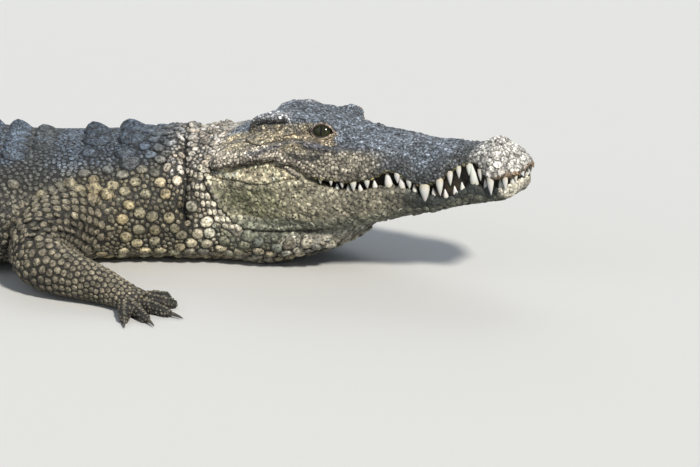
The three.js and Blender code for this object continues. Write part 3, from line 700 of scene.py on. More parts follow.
def past_lid(points, side):
    """How far each point is outside the opening of the lids, how far from the eye's middle, and how high."""
    centre, gaze, ahead, above = GAZE[side]
    v = points - centre
    r = np.linalg.norm(v, axis=1)
    forward, up = (np.degrees(np.arctan2(v @ way, v @ gaze)) for way in (ahead, above))
    rear_corner, front_corner = -52, 62  # in degrees about the eye's middle
    held = np.clip(forward, rear_corner, front_corner)
    upper = 31 * np.sqrt(np.clip(1 - (held - 2) ** 2 / np.where(forward > 2, 60, 54) ** 2, 0, 1)) - 1
    lower = -23 * np.sqrt(np.clip(1 - (held + 2) ** 2 / np.where(forward > -2, 64, 50) ** 2, 0, 1)) - 1
    past_corner = np.maximum(forward - front_corner, rear_corner - forward)
    beyond = np.maximum(np.maximum(up - upper, lower - up), past_corner) * EYE_RADIUS * 0.0175
    return np.where((r < 40) & (v @ gaze > -4), beyond, 99), r, up


for side in (-1, 1):
    beyond, r, _ = past_lid(points, side)
    lid = np.interp(beyond, [-6, -1.2, 0.3, 1.4, 2.8, 4.8, 6.3, 7.6, 9.2, 12],
                    [14, 15.5, 19.9, 21.5, 22.5, 22.3, 20.9, 20.6, 22.6, 24.2])
    blend = ease(beyond, 9, 17)
    new_r = np.where(beyond < 9, lid, lid * (1 - blend) + r * blend)
    new_r = np.where(beyond > 17, r, new_r)
    points = GAZE[side][0] + (points - GAZE[side][0]) * (new_r / r)[:, None]
hide.data.vertices.foreach_set("co", (points * MM).ravel())
hide.data.update()
edit(hide, to_head(read(hide) / MM)[:, 0] > PLAIN_BEHIND, bpy.ops.mesh.decimate, ratio=0.455)
bpy.ops.object.shade_smooth()

# ------------------------------------------------------------------ the hide: colours
# Olive brown with a blue-grey back, partly a painted reflection of the sky, pale ochre cheeks and temples, a
# bleached nose and a cream underside.
# The same colours run on through the scales; the skin that shows between them is painted darker, as the shade
# between them.


def to_body(points):
    """[behind, out, height] of frame points."""
    flat = points[:, :2]
    coarse = spine[::6]
    start = np.concatenate([
        np.argmin(((part[:, None] - coarse) ** 2).sum(2), 1) for part in np.array_split(flat, 40)])
    behind = spine_at[::6][start]
    for _ in range(4):
        origin, forward, left = body_axes(behind)
        behind = behind - ((points - origin) * forward).sum(1)
    origin, forward, left = body_axes(behind)
    return behind, ((points - origin) * left).sum(1), points[:, 2]


def blend_in(colour, other, share):
    return colour + (np.array(other) - colour) * np.clip(share, 0, 1)[:, None]


def layered(colour, *coats):
    """The colour with each coat of paint, given with its share, laid over it in turn."""
    for other, share in coats:
        colour = blend_in(colour, other, share)
    return colour


def around(value, low, high, soft):
    """1 between low and high, falling to 0 over soft on either side."""
    return ease(value, low - soft, low) * (1 - ease(value, high, high + soft))


def leg_share(points, body=None):
    """How near each point is to a leg, how far down that leg it is, and which leg it is."""
    behind, out, height = to_body(points) if body is None else body
    best, down, which = np.full(len(points), 9.0), np.zeros(len(points)), np.zeros(len(points), int)
    could = np.flatnonzero((np.abs(out) > body_half_width(behind) * 0.6) & (behind < 1400)
                           & ((behind > 100) | (behind > -300) & (height < 50)))
    near = points[could]
    for number, leg in enumerate(legs.values()):
        stops = [(leg.point(t), float(leg.radius(t)) + 8, t) for t in np.linspace(0.04, 1, 25)]
        for turn, length in zip(leg.kind["turns"], leg.kind["lengths"]):
            stops += [(leg.toe_path(turn, length, t)[0], 22, 1 + t) for t in (0.2, 0.5, 0.8, 1)]
        for middle, radius, t in stops:
            gap = np.linalg.norm(near - middle, axis=1) / radius
            closer = could[gap < best[could]]
            best[could] = np.minimum(best[could], gap)
            down[closer], which[closer] = t, number
    return best, down, which


skin_tree = BVHTree.FromObject(hide, bpy.context.evaluated_depsgraph_get())
band_front, band_rear = (to_head(on_skin(edge)) for edge in (jaw_edge[:7], band_edge))
band_rear = band_rear[np.linspace(0, len(band_rear) - 1, len(band_front)).round().astype(int)]


def in_band(points):
    """How surely each point lies on the smooth pleated skin behind the jaw, from 0 to 1."""
    local, band = folded(to_head(points)), np.zeros(len(points))
    both = np.vstack([band_front, band_rear])
    near = np.flatnonzero(np.all((local > both.min(0) - 9) & (local < both.max(0) + 9), axis=1))
    if len(near):
        apart = np.linalg.norm(local[near, None] - band_front, axis=2)
        wide = np.linalg.norm(band_front - band_rear, axis=1)[apart.argmin(1)]
        band[near] = 1 - ease(apart.min(1) + off_line(local[near], band_rear) - wide, 2, 5)
    return band


# Colours laid along lines of the head. Two ochre patches and the blue-grey of the ridge under the eye are the
# skin's own. The rest are painted shade, in the pit under that ridge and along the creases of lid, ear,
# temple, mouth, cheek and jaw.
PATCHES_AND_SHADE = [
    ([[100, 73, 72], [88, 80, 71], [74, 90, 71], [60, 98, 71]], 6, (0.46, 0.38, 0.24), 0.6),
    ([[44, 100, 70], [30, 104, 69], [14, 100, 71]], 6, (0.48, 0.42, 0.29), 0.6),
    (cheek_ridge, 6.0, (0.12, 0.13, 0.16), 0.85), (eye_pit, 5, (0.06, 0.06, 0.06), 0.9),
    (eye_crease[:4], 3.8, (0.030, 0.027, 0.027), 0.95), (ear, 3.0, (0.03, 0.03, 0.035), 0.9),
    (temple_edge, 2.4, (0.05, 0.038, 0.025), 0.8), (under_ridge, 2.6, (0.05, 0.05, 0.055), 0.6),
    (mouth_line, 2.4, (0.035, 0.032, 0.028), 0.9), (cheek_fold, 1.8, (0.05, 0.047, 0.035), 0.75),
    (to_head(jaw_edge) * [1, -1, 1], 2.8, (0.035, 0.035, 0.03), 0.85)]
patches_and_shade = [(on_skin(from_head(np.array(line) * [1, side, 1])), width, colour, share)
          for line, width, colour, share in PATCHES_AND_SHADE for side in (-1, 1)]


def paint(points):
    """The colour of the crown of a scale at each point."""
    x, y, z = to_head(points).T
    a = np.abs(y)
    behind, out, height = to_body(points)
    uneven, fine = ripple(points, 90, 5), ripple(points, 24, 6)
    # behind the head: flank, back, the dark bars across back and tail, underside and legs
    rise = height / np.maximum(body_top(behind), 30)
    aside = np.abs(out) / body_half_width(behind)
    bars = np.sin(behind / np.where(behind < 1250, 29.0, 24.8) + uneven * 0.9) * 0.5 + 0.5
    barred = ease(bars, 0.55, 0.8) * around(behind, 420, 2950, 60) * ease(rise, 0.3, 0.6)
    near_leg, down, _ = leg_share(points, (behind, out, height))
    on_leg = 1 - ease(near_leg, 0.95, 1.25)
    on_leg *= ease(np.abs(out), body_half_width(behind) * 0.75, body_half_width(behind) * 1.02)
    colour = layered(
        np.array([0.145, 0.138, 0.11]),
        ((0.66, 0.60, 0.46), around(behind, -90, 122, 14) * around(aside, 0.4, 1.12, 0.2)),
        ((0.20, 0.18, 0.125), around(behind, 118, 330, 60) * around(aside, 0.75, 1.1, 0.3)),
        ((0.46, 0.42, 0.36), around(behind, -40, 150, 50) * ease(rise, 0.6, 0.8)),
        # the blue-grey back, partly a painted reflection of the sky
        ((0.088, 0.115, 0.152),
         ease(rise, 0.74, 0.95) * (1 - 0.4 * ease(behind, 1250, 1500)) * ease(behind, 130, 235)),
        ((0.075, 0.075, 0.062), 0.75 * barred),
        ((0.46, 0.42, 0.31), (1 - ease(rise, 0.10, 0.30)) * (behind > -60)),
        ((0.215, 0.19, 0.135), on_leg), ((0.12, 0.11, 0.085), on_leg * ease(down, 0.9, 1.5) * 0.7))
    # the upper half of the head: crown, cheek, lip, temple, ear flap, bleached nose and the rim of the mouth
    lip = np.where(x < 109, np.interp(x, *MOUTH_LEVELS), upper_lip(x))
    over_lip = z - lip
    flank = ease(a / head_half_width(x), 0.62, 0.90)
    temple = around(x, -55, 106, 22) * around(z, 58, 88, 5) * ease(a, 48, 57)
    bleach = ease(x + 0.18 * z + 5 * fine, 388, 420)
    rim = around(x, 112, 470, 10) * (1 - ease(np.abs(over_lip), 2.0, 5.0))
    upper = layered(
        # the blue-grey crown and snout, partly a painted reflection of the sky
        np.array([0.155, 0.18, 0.215]),
        ((0.25, 0.225, 0.175), flank * (1 - ease(x, 200, 270))),
        ((0.095, 0.104, 0.108), (1 - ease(over_lip, 18, 44)) * ease(x, 170, 290)),
        ((0.33, 0.30, 0.235), 0.75 * around(x, 80, 215, 45) * around(over_lip, 10, 42, 12) * ease(a, 60, 84)),
        ((0.44, 0.37, 0.24), temple * (0.75 + 0.3 * fine)),
        ((0.54, 0.48, 0.39), around(x, -80, 95, 40) * around(over_lip, -5, 24, 8) * ease(a, 70, 90)),
        ((0.44, 0.45, 0.48), around(x, -10, 66, 6) * around(z, 91, 106, 4) * around(a, 42, 68, 5)),
        ((0.66, 0.64, 0.595), bleach),
        ((0.31, 0.22, 0.145), bleach * (1 - ease(over_lip + 3 * fine, 5, 15)) * ease(x, 415, 445)),
        ((0.30, 0.26, 0.10), 0.8 * rim * (1 - 0.6 * bleach)))
    # the lower jaw: pale above the cheek fold, and painted lighter still there against the shade of the lip
    # over it, green below it, dark ahead, with a bleached tip and underside
    depth = (lip - z) / np.maximum(lip - jaw_bottom(x), 10)
    above_fold = z - np.interp(x, *FOLD_LEVELS)
    under = ease(depth, 0.93, 1.02) * (1 - ease(a, jaw_half_width(x) * 0.62, jaw_half_width(x) * 0.8))
    jaw = layered(
        np.array([0.41, 0.38, 0.27]),
        # partly the skin's own pale ochre and partly painted light against the shade under the lip's overhang
        ((0.78, 0.70, 0.49), around(x, -50, 92, 14) * ease(above_fold, -3, 4)),
        ((0.17, 0.17, 0.10), around(x, -60, 62, 30) * around(depth, 0.36, 0.68, 0.1) * (0.75 + 0.5 * fine)),
        ((0.26, 0.24, 0.18), ease(x, 80, 180)), ((0.030, 0.036, 0.033), ease(x, 215, 310)),
        ((0.27, 0.275, 0.21), ease(depth, 0.70, 0.8) * (1 - ease(x, 180, 330) * 0.5)),
        ((0.84, 0.79, 0.66), ease(x + 0.5 * (z - lip) + 3 * fine, 420, 436)),
        ((0.50, 0.47, 0.38), under), ((0.55, 0.52, 0.43), around(x, 70, 210, 25) * (1 - ease(z, -96, -86))))
    on_head = ease(x, -75, -40) * (height > 40)
    colour = blend_in(colour, np.where((over_lip > 0)[:, None], upper, jaw), on_head)
    # the mouth, the patches and the painted shade of the folds, the lids, the pleated band and the shade in
    # every crease
    # the inside of the mouth is painted near black, as the shade that fills it
    inside = ease(x, 108, 116) * (a < (0.9 - 0.2 * ease(x, 430, 450)) * head_half_width(x)) * (x < 466)
    inside = inside * (z < upper_lip(x) + 10) * (z > jaw_top(x) - 10 + 8 * ease(x, 425, 440))
    in_gap = (z < upper_lip(x) - 0.5) & (z > jaw_top(x) + 0.5)
    inside = inside * np.where(a < 0.8 * head_half_width(x), 1, in_gap)
    colour = blend_in(colour, (0.045, 0.035, 0.022), inside)
    # the skin's own patches, and painted shade along the creases and in the pit under the eye
    for line, width, other, share in patches_and_shade:
        near, apart = beside(points, line, 2 * width)
        colour[near] = blend_in(colour[near], other, share * np.exp(-((apart / width) ** 2)))
    # the lids in their own browns, with painted shade in the groove over the upper lid, and nearly black next
    # to the eye: the dark lid rims and painted shade round the ball
    for side in (-1, 1):
        beyond, _, up = past_lid(points, side)
        colour = layered(
            colour, ((0.27, 0.215, 0.175), around(beyond, 1.4, 4.4, 1)),
            ((0.36, 0.30, 0.215), around(beyond, 1.4, 10, 4) * (1 - ease(up, -16, -8))),
            ((0.05, 0.042, 0.036), 0.9 * around(beyond, 6.4, 7.6, 0.9) * ease(up, -14, 0)),
            ((0.016, 0.013, 0.010), 1 - ease(beyond, 1.2, 2.7)))
    colour = blend_in(colour, (0.62, 0.575, 0.46), in_band(points))
    # painted shade in every crease and sunk line, and painted light along every raised one
    for line, width, depth in creases:
        near, apart = beside(points, line, width * 2)
        share = np.exp(-((apart / (0.7 * width)) ** 2))[:, None]
        colour[near] *= 1 + share * (-0.8 * min(1, -depth / 3) if depth < 0 else 0.12 * depth)
    colour *= (1 + 0.16 * uneven + 0.12 * fine)[:, None]
    return np.clip(colour, 0.004, 0.95)


def of_jaw(x, z):
    """Whether head places belong to the lower jaw. Behind the lips it meets the cheek at one level."""
    return z < np.where(x < 109, 30, upper_lip(x))


def tint(piece, colours, dots=1.0):
    """Stores a colour at every point, with how dotted the skin is there in its alpha."""
    attribute = piece.data.color_attributes.new("tint", "FLOAT_COLOR", "POINT")
    rgba = np.ones((len(piece.data.vertices), 4), np.float32)
    rgba[:, :3], rgba[:, 3] = colours, dots
    attribute.data.foreach_set("color", rgba.ravel())


def ramp(tree, source, low, high, dark, light):
    """A value carried evenly from one range to another."""
    ends = {"From Min": low, "From Max": high, "To Min": dark, "To Max": light}
    return add(tree, "MapRange", Value=source, **ends).outputs["Result"]


def hide_paint(name, cracks, grain, pored=0.12):
    """Skin or scale: its own colour, mottled, speckled with dark pores, and cracked where it has no pores."""
    material, tree, shader = new_paint(name, {})
    place = add(tree, "TexCoord").outputs["Object"]
    own = add(tree, "VertexColor", layer_name="tint").outputs
    broad = add(tree, "TexNoise", Vector=place, Scale=22.0, Detail=3.0).outputs["Fac"]
    speck = add(tree, "TexNoise", Vector=place, Scale=300.0, Detail=3.0, Roughness=0.7).outputs["Fac"]
    patch = add(tree, "TexNoise", Vector=place, Scale=110.0, Detail=2.0).outputs["Fac"]
    pores = add(tree, "TexVoronoi", Vector=place, Scale=165.0, Randomness=1.0).outputs["Distance"]
    crack = add(tree, "TexVoronoi", feature="DISTANCE_TO_EDGE", Vector=place, Scale=cracks)

    def by_dots(undotted, dotted):
        mix = add(tree, "Mix", data_type="FLOAT", Factor=own["Alpha"], A=undotted, B=dotted)
        return mix.outputs["Result"]

    dots = by_dots(1.0, ramp(tree, pores, 0.25, 0.40, 0.0, 1.0))
    lines = by_dots(ramp(tree, crack.outputs["Distance"], 0.0, 0.09, 0.35, 1.0), 1.0)
    specked = by_dots(ramp(tree, speck, 0.39, 0.62, 0.22, 1.85), ramp(tree, speck, 0.32, 0.68, 0.68, 1.32))
    colour = own["Color"]
    for share in (ramp(tree, broad, 0.3, 0.7, 0.78, 1.22), specked, ramp(tree, patch, 0.36, 0.64, 0.50, 1.50),
                  ramp(tree, dots, 0.0, 1.0, pored, 1.0), lines):
        colour = add(tree, "VectorMath", colour, share, operation="MULTIPLY").outputs[0]
    tree.links.new(colour, shader["Base Color"])
    tree.links.new(ramp(tree, speck, 0.3, 0.7, 0.48, 0.72), shader["Roughness"])
    heights = maths(tree, "MULTIPLY_ADD", speck, grain, lines)
    bump = add(tree, "Bump", Strength=0.7, Distance=0.0012, Height=heights)
    tree.links.new(bump.outputs["Normal"], shader["Normal"])
    return material


points = read(hide) / MM
x, _, z = to_head(points).T
on_head = ease(x, -60, -30) * (points[:, 2] > 40)
on_jaw = on_head * of_jaw(x, z)
beyond = np.minimum(past_lid(points, -1)[0], past_lid(points, 1)[0])
bare = (beyond < 4.6) * 1.0  # the lids have no scales
# the skin between the scales is painted darker as shade; the lids, which have no scales, are not
shown = 0.10 + (0.30 * np.maximum(on_head, beyond < 20) + 0.25 * on_jaw) * (1 + 0.4 * ease(x, 395, 420))
tint(hide, paint(points) * np.maximum(bare, shown)[:, None], np.maximum(bare, on_jaw))
hide.data.materials.append(hide_paint("skin", 150.0, 0.8, pored=1.0))
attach(hide, "root")
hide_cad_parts(*[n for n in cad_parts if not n.startswith("eye") and "claw" not in n])

# ------------------------------------------------------------------ the scales: how one is made and laid
# A scale is a low horny button that grows from the skin. One button of each kind is made, and its copies are
# laid close together, each cut to the room that its neighbours leave it.
PATCH = 0.0015  # half the width of a scale's own patch of the map


def scale_form(sides, steps):
    """A closed button of unit radius: [how far in, how high] steps from its rim to its top."""
    bpy.ops.object.select_all(action="DESELECT")
    bpy.ops.mesh.primitive_circle_add(vertices=sides, radius=1, fill_type="NGON")
    form = bpy.context.object
    bpy.ops.object.mode_set(mode="EDIT")
    bpy.ops.mesh.select_all(action="SELECT")
    size, level = 1.0, 0.0
    for inward, rise in steps:
        bpy.ops.mesh.extrude_region_move(TRANSFORM_OT_translate={"value": (0, 0, rise - level)})
        bpy.ops.transform.resize(value=(inward / size, inward / size, 1))
        size, level = inward, rise
    bpy.ops.mesh.poke()
    bpy.ops.mesh.select_all(action="SELECT")
    bpy.ops.mesh.normals_make_consistent(inside=False)
    bpy.ops.mesh.quads_convert_to_tris()
    bpy.ops.object.mode_set(mode="OBJECT")
    form.data.calc_loop_triangles()
    corners = read(form)
    faces = np.array([tuple(t.vertices) for t in form.data.loop_triangles])
    bpy.data.objects.remove(form)
    far = np.hypot(corners[:, 0], corners[:, 1])
    turn = np.degrees(np.arctan2(corners[:, 1], corners[:, 0])) - 90
    spoke = np.round(turn / (360 / sides)).astype(int) % sides
    return dict(sides=sides, far=far, spoke=spoke, rise=corners[:, 2], faces=faces)


def seeds_at(points, ahead, long, wide, keel=0.0):
    """Roots for scales on the skin nearest to these points; ahead is the way that their long side runs."""
    place, facing = nearest_skin(points)
    each = np.zeros(len(points))
    ahead = ahead - facing * (ahead * facing).sum(1)[:, None]
    size = np.linalg.norm(ahead, axis=1)[:, None]
    axis = np.where(size > 0.05, ahead / np.maximum(size, 1e-6), np.roll(facing, 1, 1))
    return dict(p=place, n=facing, axis=axis, long=each + long, wide=each + wide, keel=each + keel)


def columns(rows):
    return [np.array(column, float) for column in zip(*rows)]


def together(*groups):
    keys = set(groups[0]).intersection(*groups[1:])
    return {key: np.concatenate([group[key] for group in groups]) for key in keys}


def kinds_of(*groups):
    """For roots put together from these groups, which of them are of each group."""
    kinds = np.repeat(np.arange(len(groups)), [len(group["p"]) for group in groups])
    return [kinds == k for k in range(len(groups))]


def chosen(roots, which):
    return {key: value[which] for key, value in roots.items()}


def ellipse(roots, index, way):
    """Each scale's own radius along a way on the skin."""
    along, long, wide = (way * roots["axis"][index]).sum(-1), roots["long"][index], roots["wide"][index]
    return 1 / np.sqrt((along / long) ** 2 + (1 - along**2).clip(0) / wide ** 2)


def tree_of(points):
    tree = KDTree(len(points))
    for i, p in enumerate(points):
        tree.insert(p, i)
    tree.balance()
    return tree


def room(roots, sides, others=16, limit=1.16, only=None):
    """How far each scale can reach along each of its spokes before it meets its neighbours."""
    count = len(roots["p"])
    me = np.arange(count) if only is None else np.flatnonzero(only)
    own = chosen(roots, me)
    tree = tree_of(roots["p"])
    others = min(others, count - 1)
    near = np.array([[f[1] for f in tree.find_n(p, others + 1)] for p in own["p"]])
    big = np.flatnonzero(roots["wide"] > 7.5)
    if 4 < len(big) < count:
        tree = tree_of(roots["p"][big])
        near = np.hstack([near, [[big[f[1]] for f in tree.find_n(p, 4)] for p in own["p"]]])
    angles = np.arange(sides) * 2 * math.pi / sides
    cos, sin, normal = np.cos(angles), np.sin(angles), own["n"]
    spokes = cos[:, None] * own["axis"][:, None] + sin[:, None] * np.cross(normal, own["axis"])[:, None]
    bend = (cos / own["long"][:, None]) ** 2 + (sin / own["wide"][:, None]) ** 2
    reach = np.reshape(limit, (-1, 1)) / np.sqrt(bend)
    for column in near.T:
        gap = roots["p"][column] - own["p"]
        gap = gap - normal * (gap * normal).sum(1)[:, None]
        length = np.linalg.norm(gap, axis=1)
        way = gap / np.maximum(length, 1e-6)[:, None]
        mine, theirs = ellipse(roots, me, way), ellipse(roots, column, way)
        border = length * mine / (mine + theirs)
        facing = (spokes * way[:, None]).sum(2)
        real = (facing > 0.12) & ((column != me) & (length > 0.3))[:, None]
        reach = np.minimum(reach, np.where(real, border[:, None] / np.maximum(facing, 0.12), 1e9))
    return spokes, reach


def settle(roots, fixed=0, times=1):
    """Evens out scattered roots: each moves to the middle of its room. The first few stay."""
    for _ in range(times):
        spokes, reach = room(roots, 8)
        shift = (spokes * reach[:, :, None]).mean(1) * 0.8
        shift[:fixed] = 0
        roots["p"], roots["n"] = nearest_skin(roots["p"] + shift)
        axis = roots["axis"] - roots["n"] * (roots["axis"] * roots["n"]).sum(1)[:, None]
        roots["axis"] = axis / np.maximum(np.linalg.norm(axis, axis=1), 1e-6)[:, None]
    return roots


def scatter(size, ahead, fixed=None, stretch=1.0, seed=3, tries=7, spread=0.84):
    """Roots strewn over the skin at each triangle's scale size, clear of each other and of the fixed ones."""
    rng = np.random.default_rng(seed)
    live = size > 0
    corners, size = skin_corners[live], size[live]
    big = np.linalg.norm(np.cross(corners[:, 1] - corners[:, 0], corners[:, 2] - corners[:, 0]), axis=1) / 2
    which = np.repeat(np.arange(len(corners)), rng.poisson(tries * big / (3.2 * size**2 * stretch)))
    u, v = rng.random((2, len(which), 1))
    u, v = np.where(u + v > 1, 1 - u, u), np.where(u + v > 1, 1 - v, v)
    tri, size = corners[which], size[which]
    points = tri[:, 0] + u * (tri[:, 1] - tri[:, 0]) + v * (tri[:, 2] - tri[:, 0])
    if fixed is not None:
        tree = tree_of(fixed["p"])
        clear = np.ones(len(points), bool)
        for column in np.array([[f[1] for f in tree.find_n(p, 5)] for p in points]).T:
            gap = points - fixed["p"][column]
            length = np.linalg.norm(gap, axis=1)
            theirs = ellipse(fixed, column, gap / np.maximum(length, 1e-6)[:, None])
            clear &= length > theirs * 0.98 + size * 0.72
        points, size = points[clear], size[clear]
    tree, alive, kept = tree_of(points), np.ones(len(points), bool), []
    for i in rng.permutation(len(points)):
        if alive[i]:
            kept.append(i)
            for _, j, apart in tree.find_range(points[i], size[i] * 2.4):
                if apart < spread * (size[i] + size[j]):
                    alive[j] = False
    return seeds_at(points[kept], ahead(points[kept]), size[kept] * stretch, size[kept])


def toward_tail(points):
    forward = body_axes(to_body(points)[0])[1]
    return np.where(to_head(points)[:, :1] > -30, -head_forward[None], -forward)


def unwrap(mesh, roots, form_places, corners):
    """Gives each scale its own patch of the OFBake map, by how far back and how far round its root is."""
    if "leg_along" in roots:
        back, turned = roots["leg_along"], roots["leg_round"]
    else:
        back, out, height = to_body(roots["p"])
        up = np.where(back < 0, to_head(roots["p"])[:, 2], height - 0.45 * body_top(back))
        turned = np.arctan2(up, out)
    uv = np.stack([back, turned], 1)
    uv = 0.01 + 0.98 * (uv - uv.min(0)) / np.maximum(np.ptp(uv, axis=0), 1e-6)
    uv = (uv[:, None] + np.stack(form_places, 1) * PATCH).reshape(-1, 2)[corners]
    mesh.uv_layers.new(name="OFBake").data.foreach_set("uv", uv.astype(np.float32).ravel())


def lay(name, roots, form, height, gap=0.45, sunk=1.2, limit=1.16, others=16, conform=False, tone=None,
        dots=0.0, rim=0.5, keel=0.0, back=0.0, only=None):
    """Makes one piece of scales, painted from their roots, with sunk edges, rims painted dark as shade and
    crowns a little lighter, and raised backs.
    """
    spokes, reach = room(roots, form["sides"], others, limit, only)
    roots = roots if only is None else chosen(roots, only)
    reach = 0.25 * np.roll(reach, 1, 1) + 0.5 * reach + 0.25 * np.roll(reach, -1, 1)
    reach = np.maximum(reach - np.reshape(gap, (-1, 1)), 0.35 * reach)
    count, per = len(reach), len(form["far"])
    rng = np.random.default_rng(len(name) * 7 + count)
    height = np.zeros(count) + height
    far = reach[:, form["spoke"]] * form["far"]
    foot = roots["p"][:, None] + spokes[:, form["spoke"]] * far[:, :, None]
    out = roots["n"][:, None]
    if conform:
        place, facing = nearest_skin(foot.reshape(-1, 3))
        foot, out = place.reshape(foot.shape), 0.5 * out + 0.5 * facing.reshape(foot.shape)
    angle = form["spoke"] * 2 * math.pi / form["sides"]
    aside, along = np.sin(angle) * form["far"], np.cos(angle) * form["far"]
    on_top = (form["far"] < 0.97) * (form["rise"] > 0)
    crest = np.exp(-((aside / 0.2) ** 2)) * (1 - 0.6 * (along - 0.35) ** 2) * on_top
    lift = form["rise"] * height[:, None] + np.reshape(keel, (-1, 1)) * crest * (1 - form["far"] ** 3)
    lift = lift * (1 + back * along) - sunk * (form["far"] > 0.97)
    points = foot + out * lift[:, :, None]
    points[:, :, 2] = np.maximum(points[:, :, 2], 0.05)
    tone = rng.normal(1, 0.10, count).clip(0.7, 1.3) if tone is None else tone
    # each scale is painted darker down to its rim, as the shade where it meets the skin, and a little lighter
    # on its crown, as painted light
    rim_shade_crown_light = rim + (1.08 - rim) * ease(form["rise"] + 0.15, 0.2, 1.0)
    shade = paint(roots["p"])[:, None] * np.reshape(tone, (count, 1, -1)) * rim_shade_crown_light[None, :, None]
    faces = (form["faces"][None] + (np.arange(count) * per)[:, None, None]).reshape(-1, 3)
    mesh = bpy.data.meshes.new(name)
    mesh.vertices.add(count * per)
    mesh.vertices.foreach_set("co", (points * MM).ravel())
    mesh.loops.add(len(faces) * 3)
    mesh.loops.foreach_set("vertex_index", faces.ravel())
    mesh.polygons.add(len(faces))
    mesh.polygons.foreach_set("loop_start", np.arange(0, len(faces) * 3, 3))
    mesh.update(calc_edges=True)
    made = bpy.data.objects.new(name, mesh)
    bpy.context.scene.collection.objects.link(made)
    tint(made, np.clip(shade, 0.003, 0.95).reshape(-1, 3), np.repeat(np.zeros(count) + dots, per))
    unwrap(mesh, roots, [along, aside], faces.ravel())
    mesh.polygons.foreach_set("use_smooth", np.ones(len(faces), bool))
    made.data.materials.append(scale_paint)
    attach(made, "root")


hide.data.calc_loop_triangles()
corner_index = np.empty(len(hide.data.loop_triangles) * 3, int)
hide.data.loop_triangles.foreach_get("vertices", corner_index)
skin_corners = read(hide)[corner_index].reshape(-1, 3, 3) / MM
skin_middle = skin_corners.mean(1)
skin_behind, skin_out, skin_height = skin_body = to_body(skin_middle)
skin_leg, skin_down, skin_which = leg_share(skin_middle, skin_body)
beside_body = np.abs(skin_out) > body_half_width(skin_behind) * 0.9
scale_paint = hide_paint("scale", 75.0, 0.8)
granule = scale_form(8, [(0.84, 0.85)])
cell = scale_form(10, [(0.80, 0.85)])
pebble = scale_form(8, [(0.90, 0.55), (0.56, 0.94)])
dome = scale_form(10, [(0.93, 0.45), (0.70, 0.80), (0.36, 0.96)])
scute = scale_form(16, [(0.93, 0.35), (0.7, 0.65), (0.38, 0.86)])

# ------------------------------------------------------------------ the scales of the head
# The skin of the skull is not truly scaled: it is thick, and cracked all over into small many-sided plates
# that are finest round the eyes and ears and broadest along the jaw and on the nose.
x, y, z = to_head(skin_middle).T
a = np.abs(y)
over_lip = z - upper_lip(x)
size = np.where((over_lip < 0) & (x > -60) | (x < 112) & (z < 34), 3.6, 2.9)
depth = (upper_lip(x) - z) / np.maximum(upper_lip(x) - jaw_bottom(x), 10)
size = size + 2.6 * ease(depth, 0.66, 0.78) * (1 - 0.5 * ease(x, 200, 330))
size = size + 2.4 * ease(x, 392, 415) * (over_lip > 0) - 0.5 * around(x, -20, 110, 15) * around(z, 56, 92, 6)
size = np.where(x < -20, size + 0.6, size - (size - 2.4) * ease(x, 452, 468))
for side in (-1, 1):
    beyond, r, _ = past_lid(skin_middle, side)
    size = np.where(r < 46, 1.6 + (size - 1.6) * ease(r, 22, 42), size)
    size = np.where(beyond < 4.4, 0, size)
for line in folds:
    near, apart = beside(skin_middle, on_skin(line), 14)
    size[near] = np.minimum(size[near], 1.7 + 0.22 * apart)
within = a < head_half_width(x) * 0.88
mouth = (x > 104) & (a < head_half_width(x) * 0.93) & (z < upper_lip(x) - 0.5 + 9 * within)
mouth &= z > jaw_top(x) - 9 + 8.5 * (a > jaw_half_width(x) * 0.90)
mouth |= np.linalg.norm(np.stack([x - 430, a - 14, z - 55], 1), axis=1) < 6  # the nostrils
mouth |= (x > 112) & (np.abs(z - jaw_top(x)) < 2.2) & (a > jaw_half_width(x) * 0.8)
skin_band = in_band(skin_middle) > 0.5
off_head = (x < np.maximum(-66, -68 - 0.72 * (z - 20))) | (skin_height < 60)
head_roots = settle(scatter(np.where(mouth | skin_band | off_head, 0, size), toward_tail, seed=5), times=2)
x_at, _, z_at = to_head(head_roots["p"]).T
lower = of_jaw(x_at, z_at)
rng = np.random.default_rng(8)
knobby = np.where(lower, 0.035, 0.09 - 0.05 * ease(x_at, 392, 415)) * head_roots["wide"]
knobby = knobby * rng.uniform(0.2, 1.8, len(x_at)) + 0.22
head_tone = np.exp(rng.normal(0, 1, len(x_at)) * np.where(lower, 0.22, 0.36)).clip(0.5, 1.8)
head_tone = head_tone ** (1 - 0.6 * ease(x_at, 395, 430))
pored = np.where(lower, 1.0, 0.2) + np.where(lower, -0.4, 0.35) * ease(x_at, 392, 420)
blunt = 3.0 - 1.8 * ease(x_at, 425, 455)
for name, here, seam, rim in (
    ("head_scales_upper", ~lower, 0.15, 0.7), ("head_scales_lower", lower, 0.09, 0.8),
):
    lay(name, head_roots, cell, knobby[here], gap=seam, sunk=0.25, dots=pored[here], limit=blunt[here],
        rim=rim, tone=head_tone[here], only=here)

# ------------------------------------------------------------------ the scales of the neck
# Domed tubercles crowd behind the jaws and stand strewn farther back, pale, painted lighter on the crown and
# dark at the rim as light and shade, with small granules between them. A few keeled shields lie on the nape,
# and the fold behind the jaw has long smooth pleats.


def on_back(behind, out):
    """A place as high as the back, and the way to the tail there."""
    return from_body([[behind, out, float(body_top(behind))]])[0], -body_axes(behind)[1]


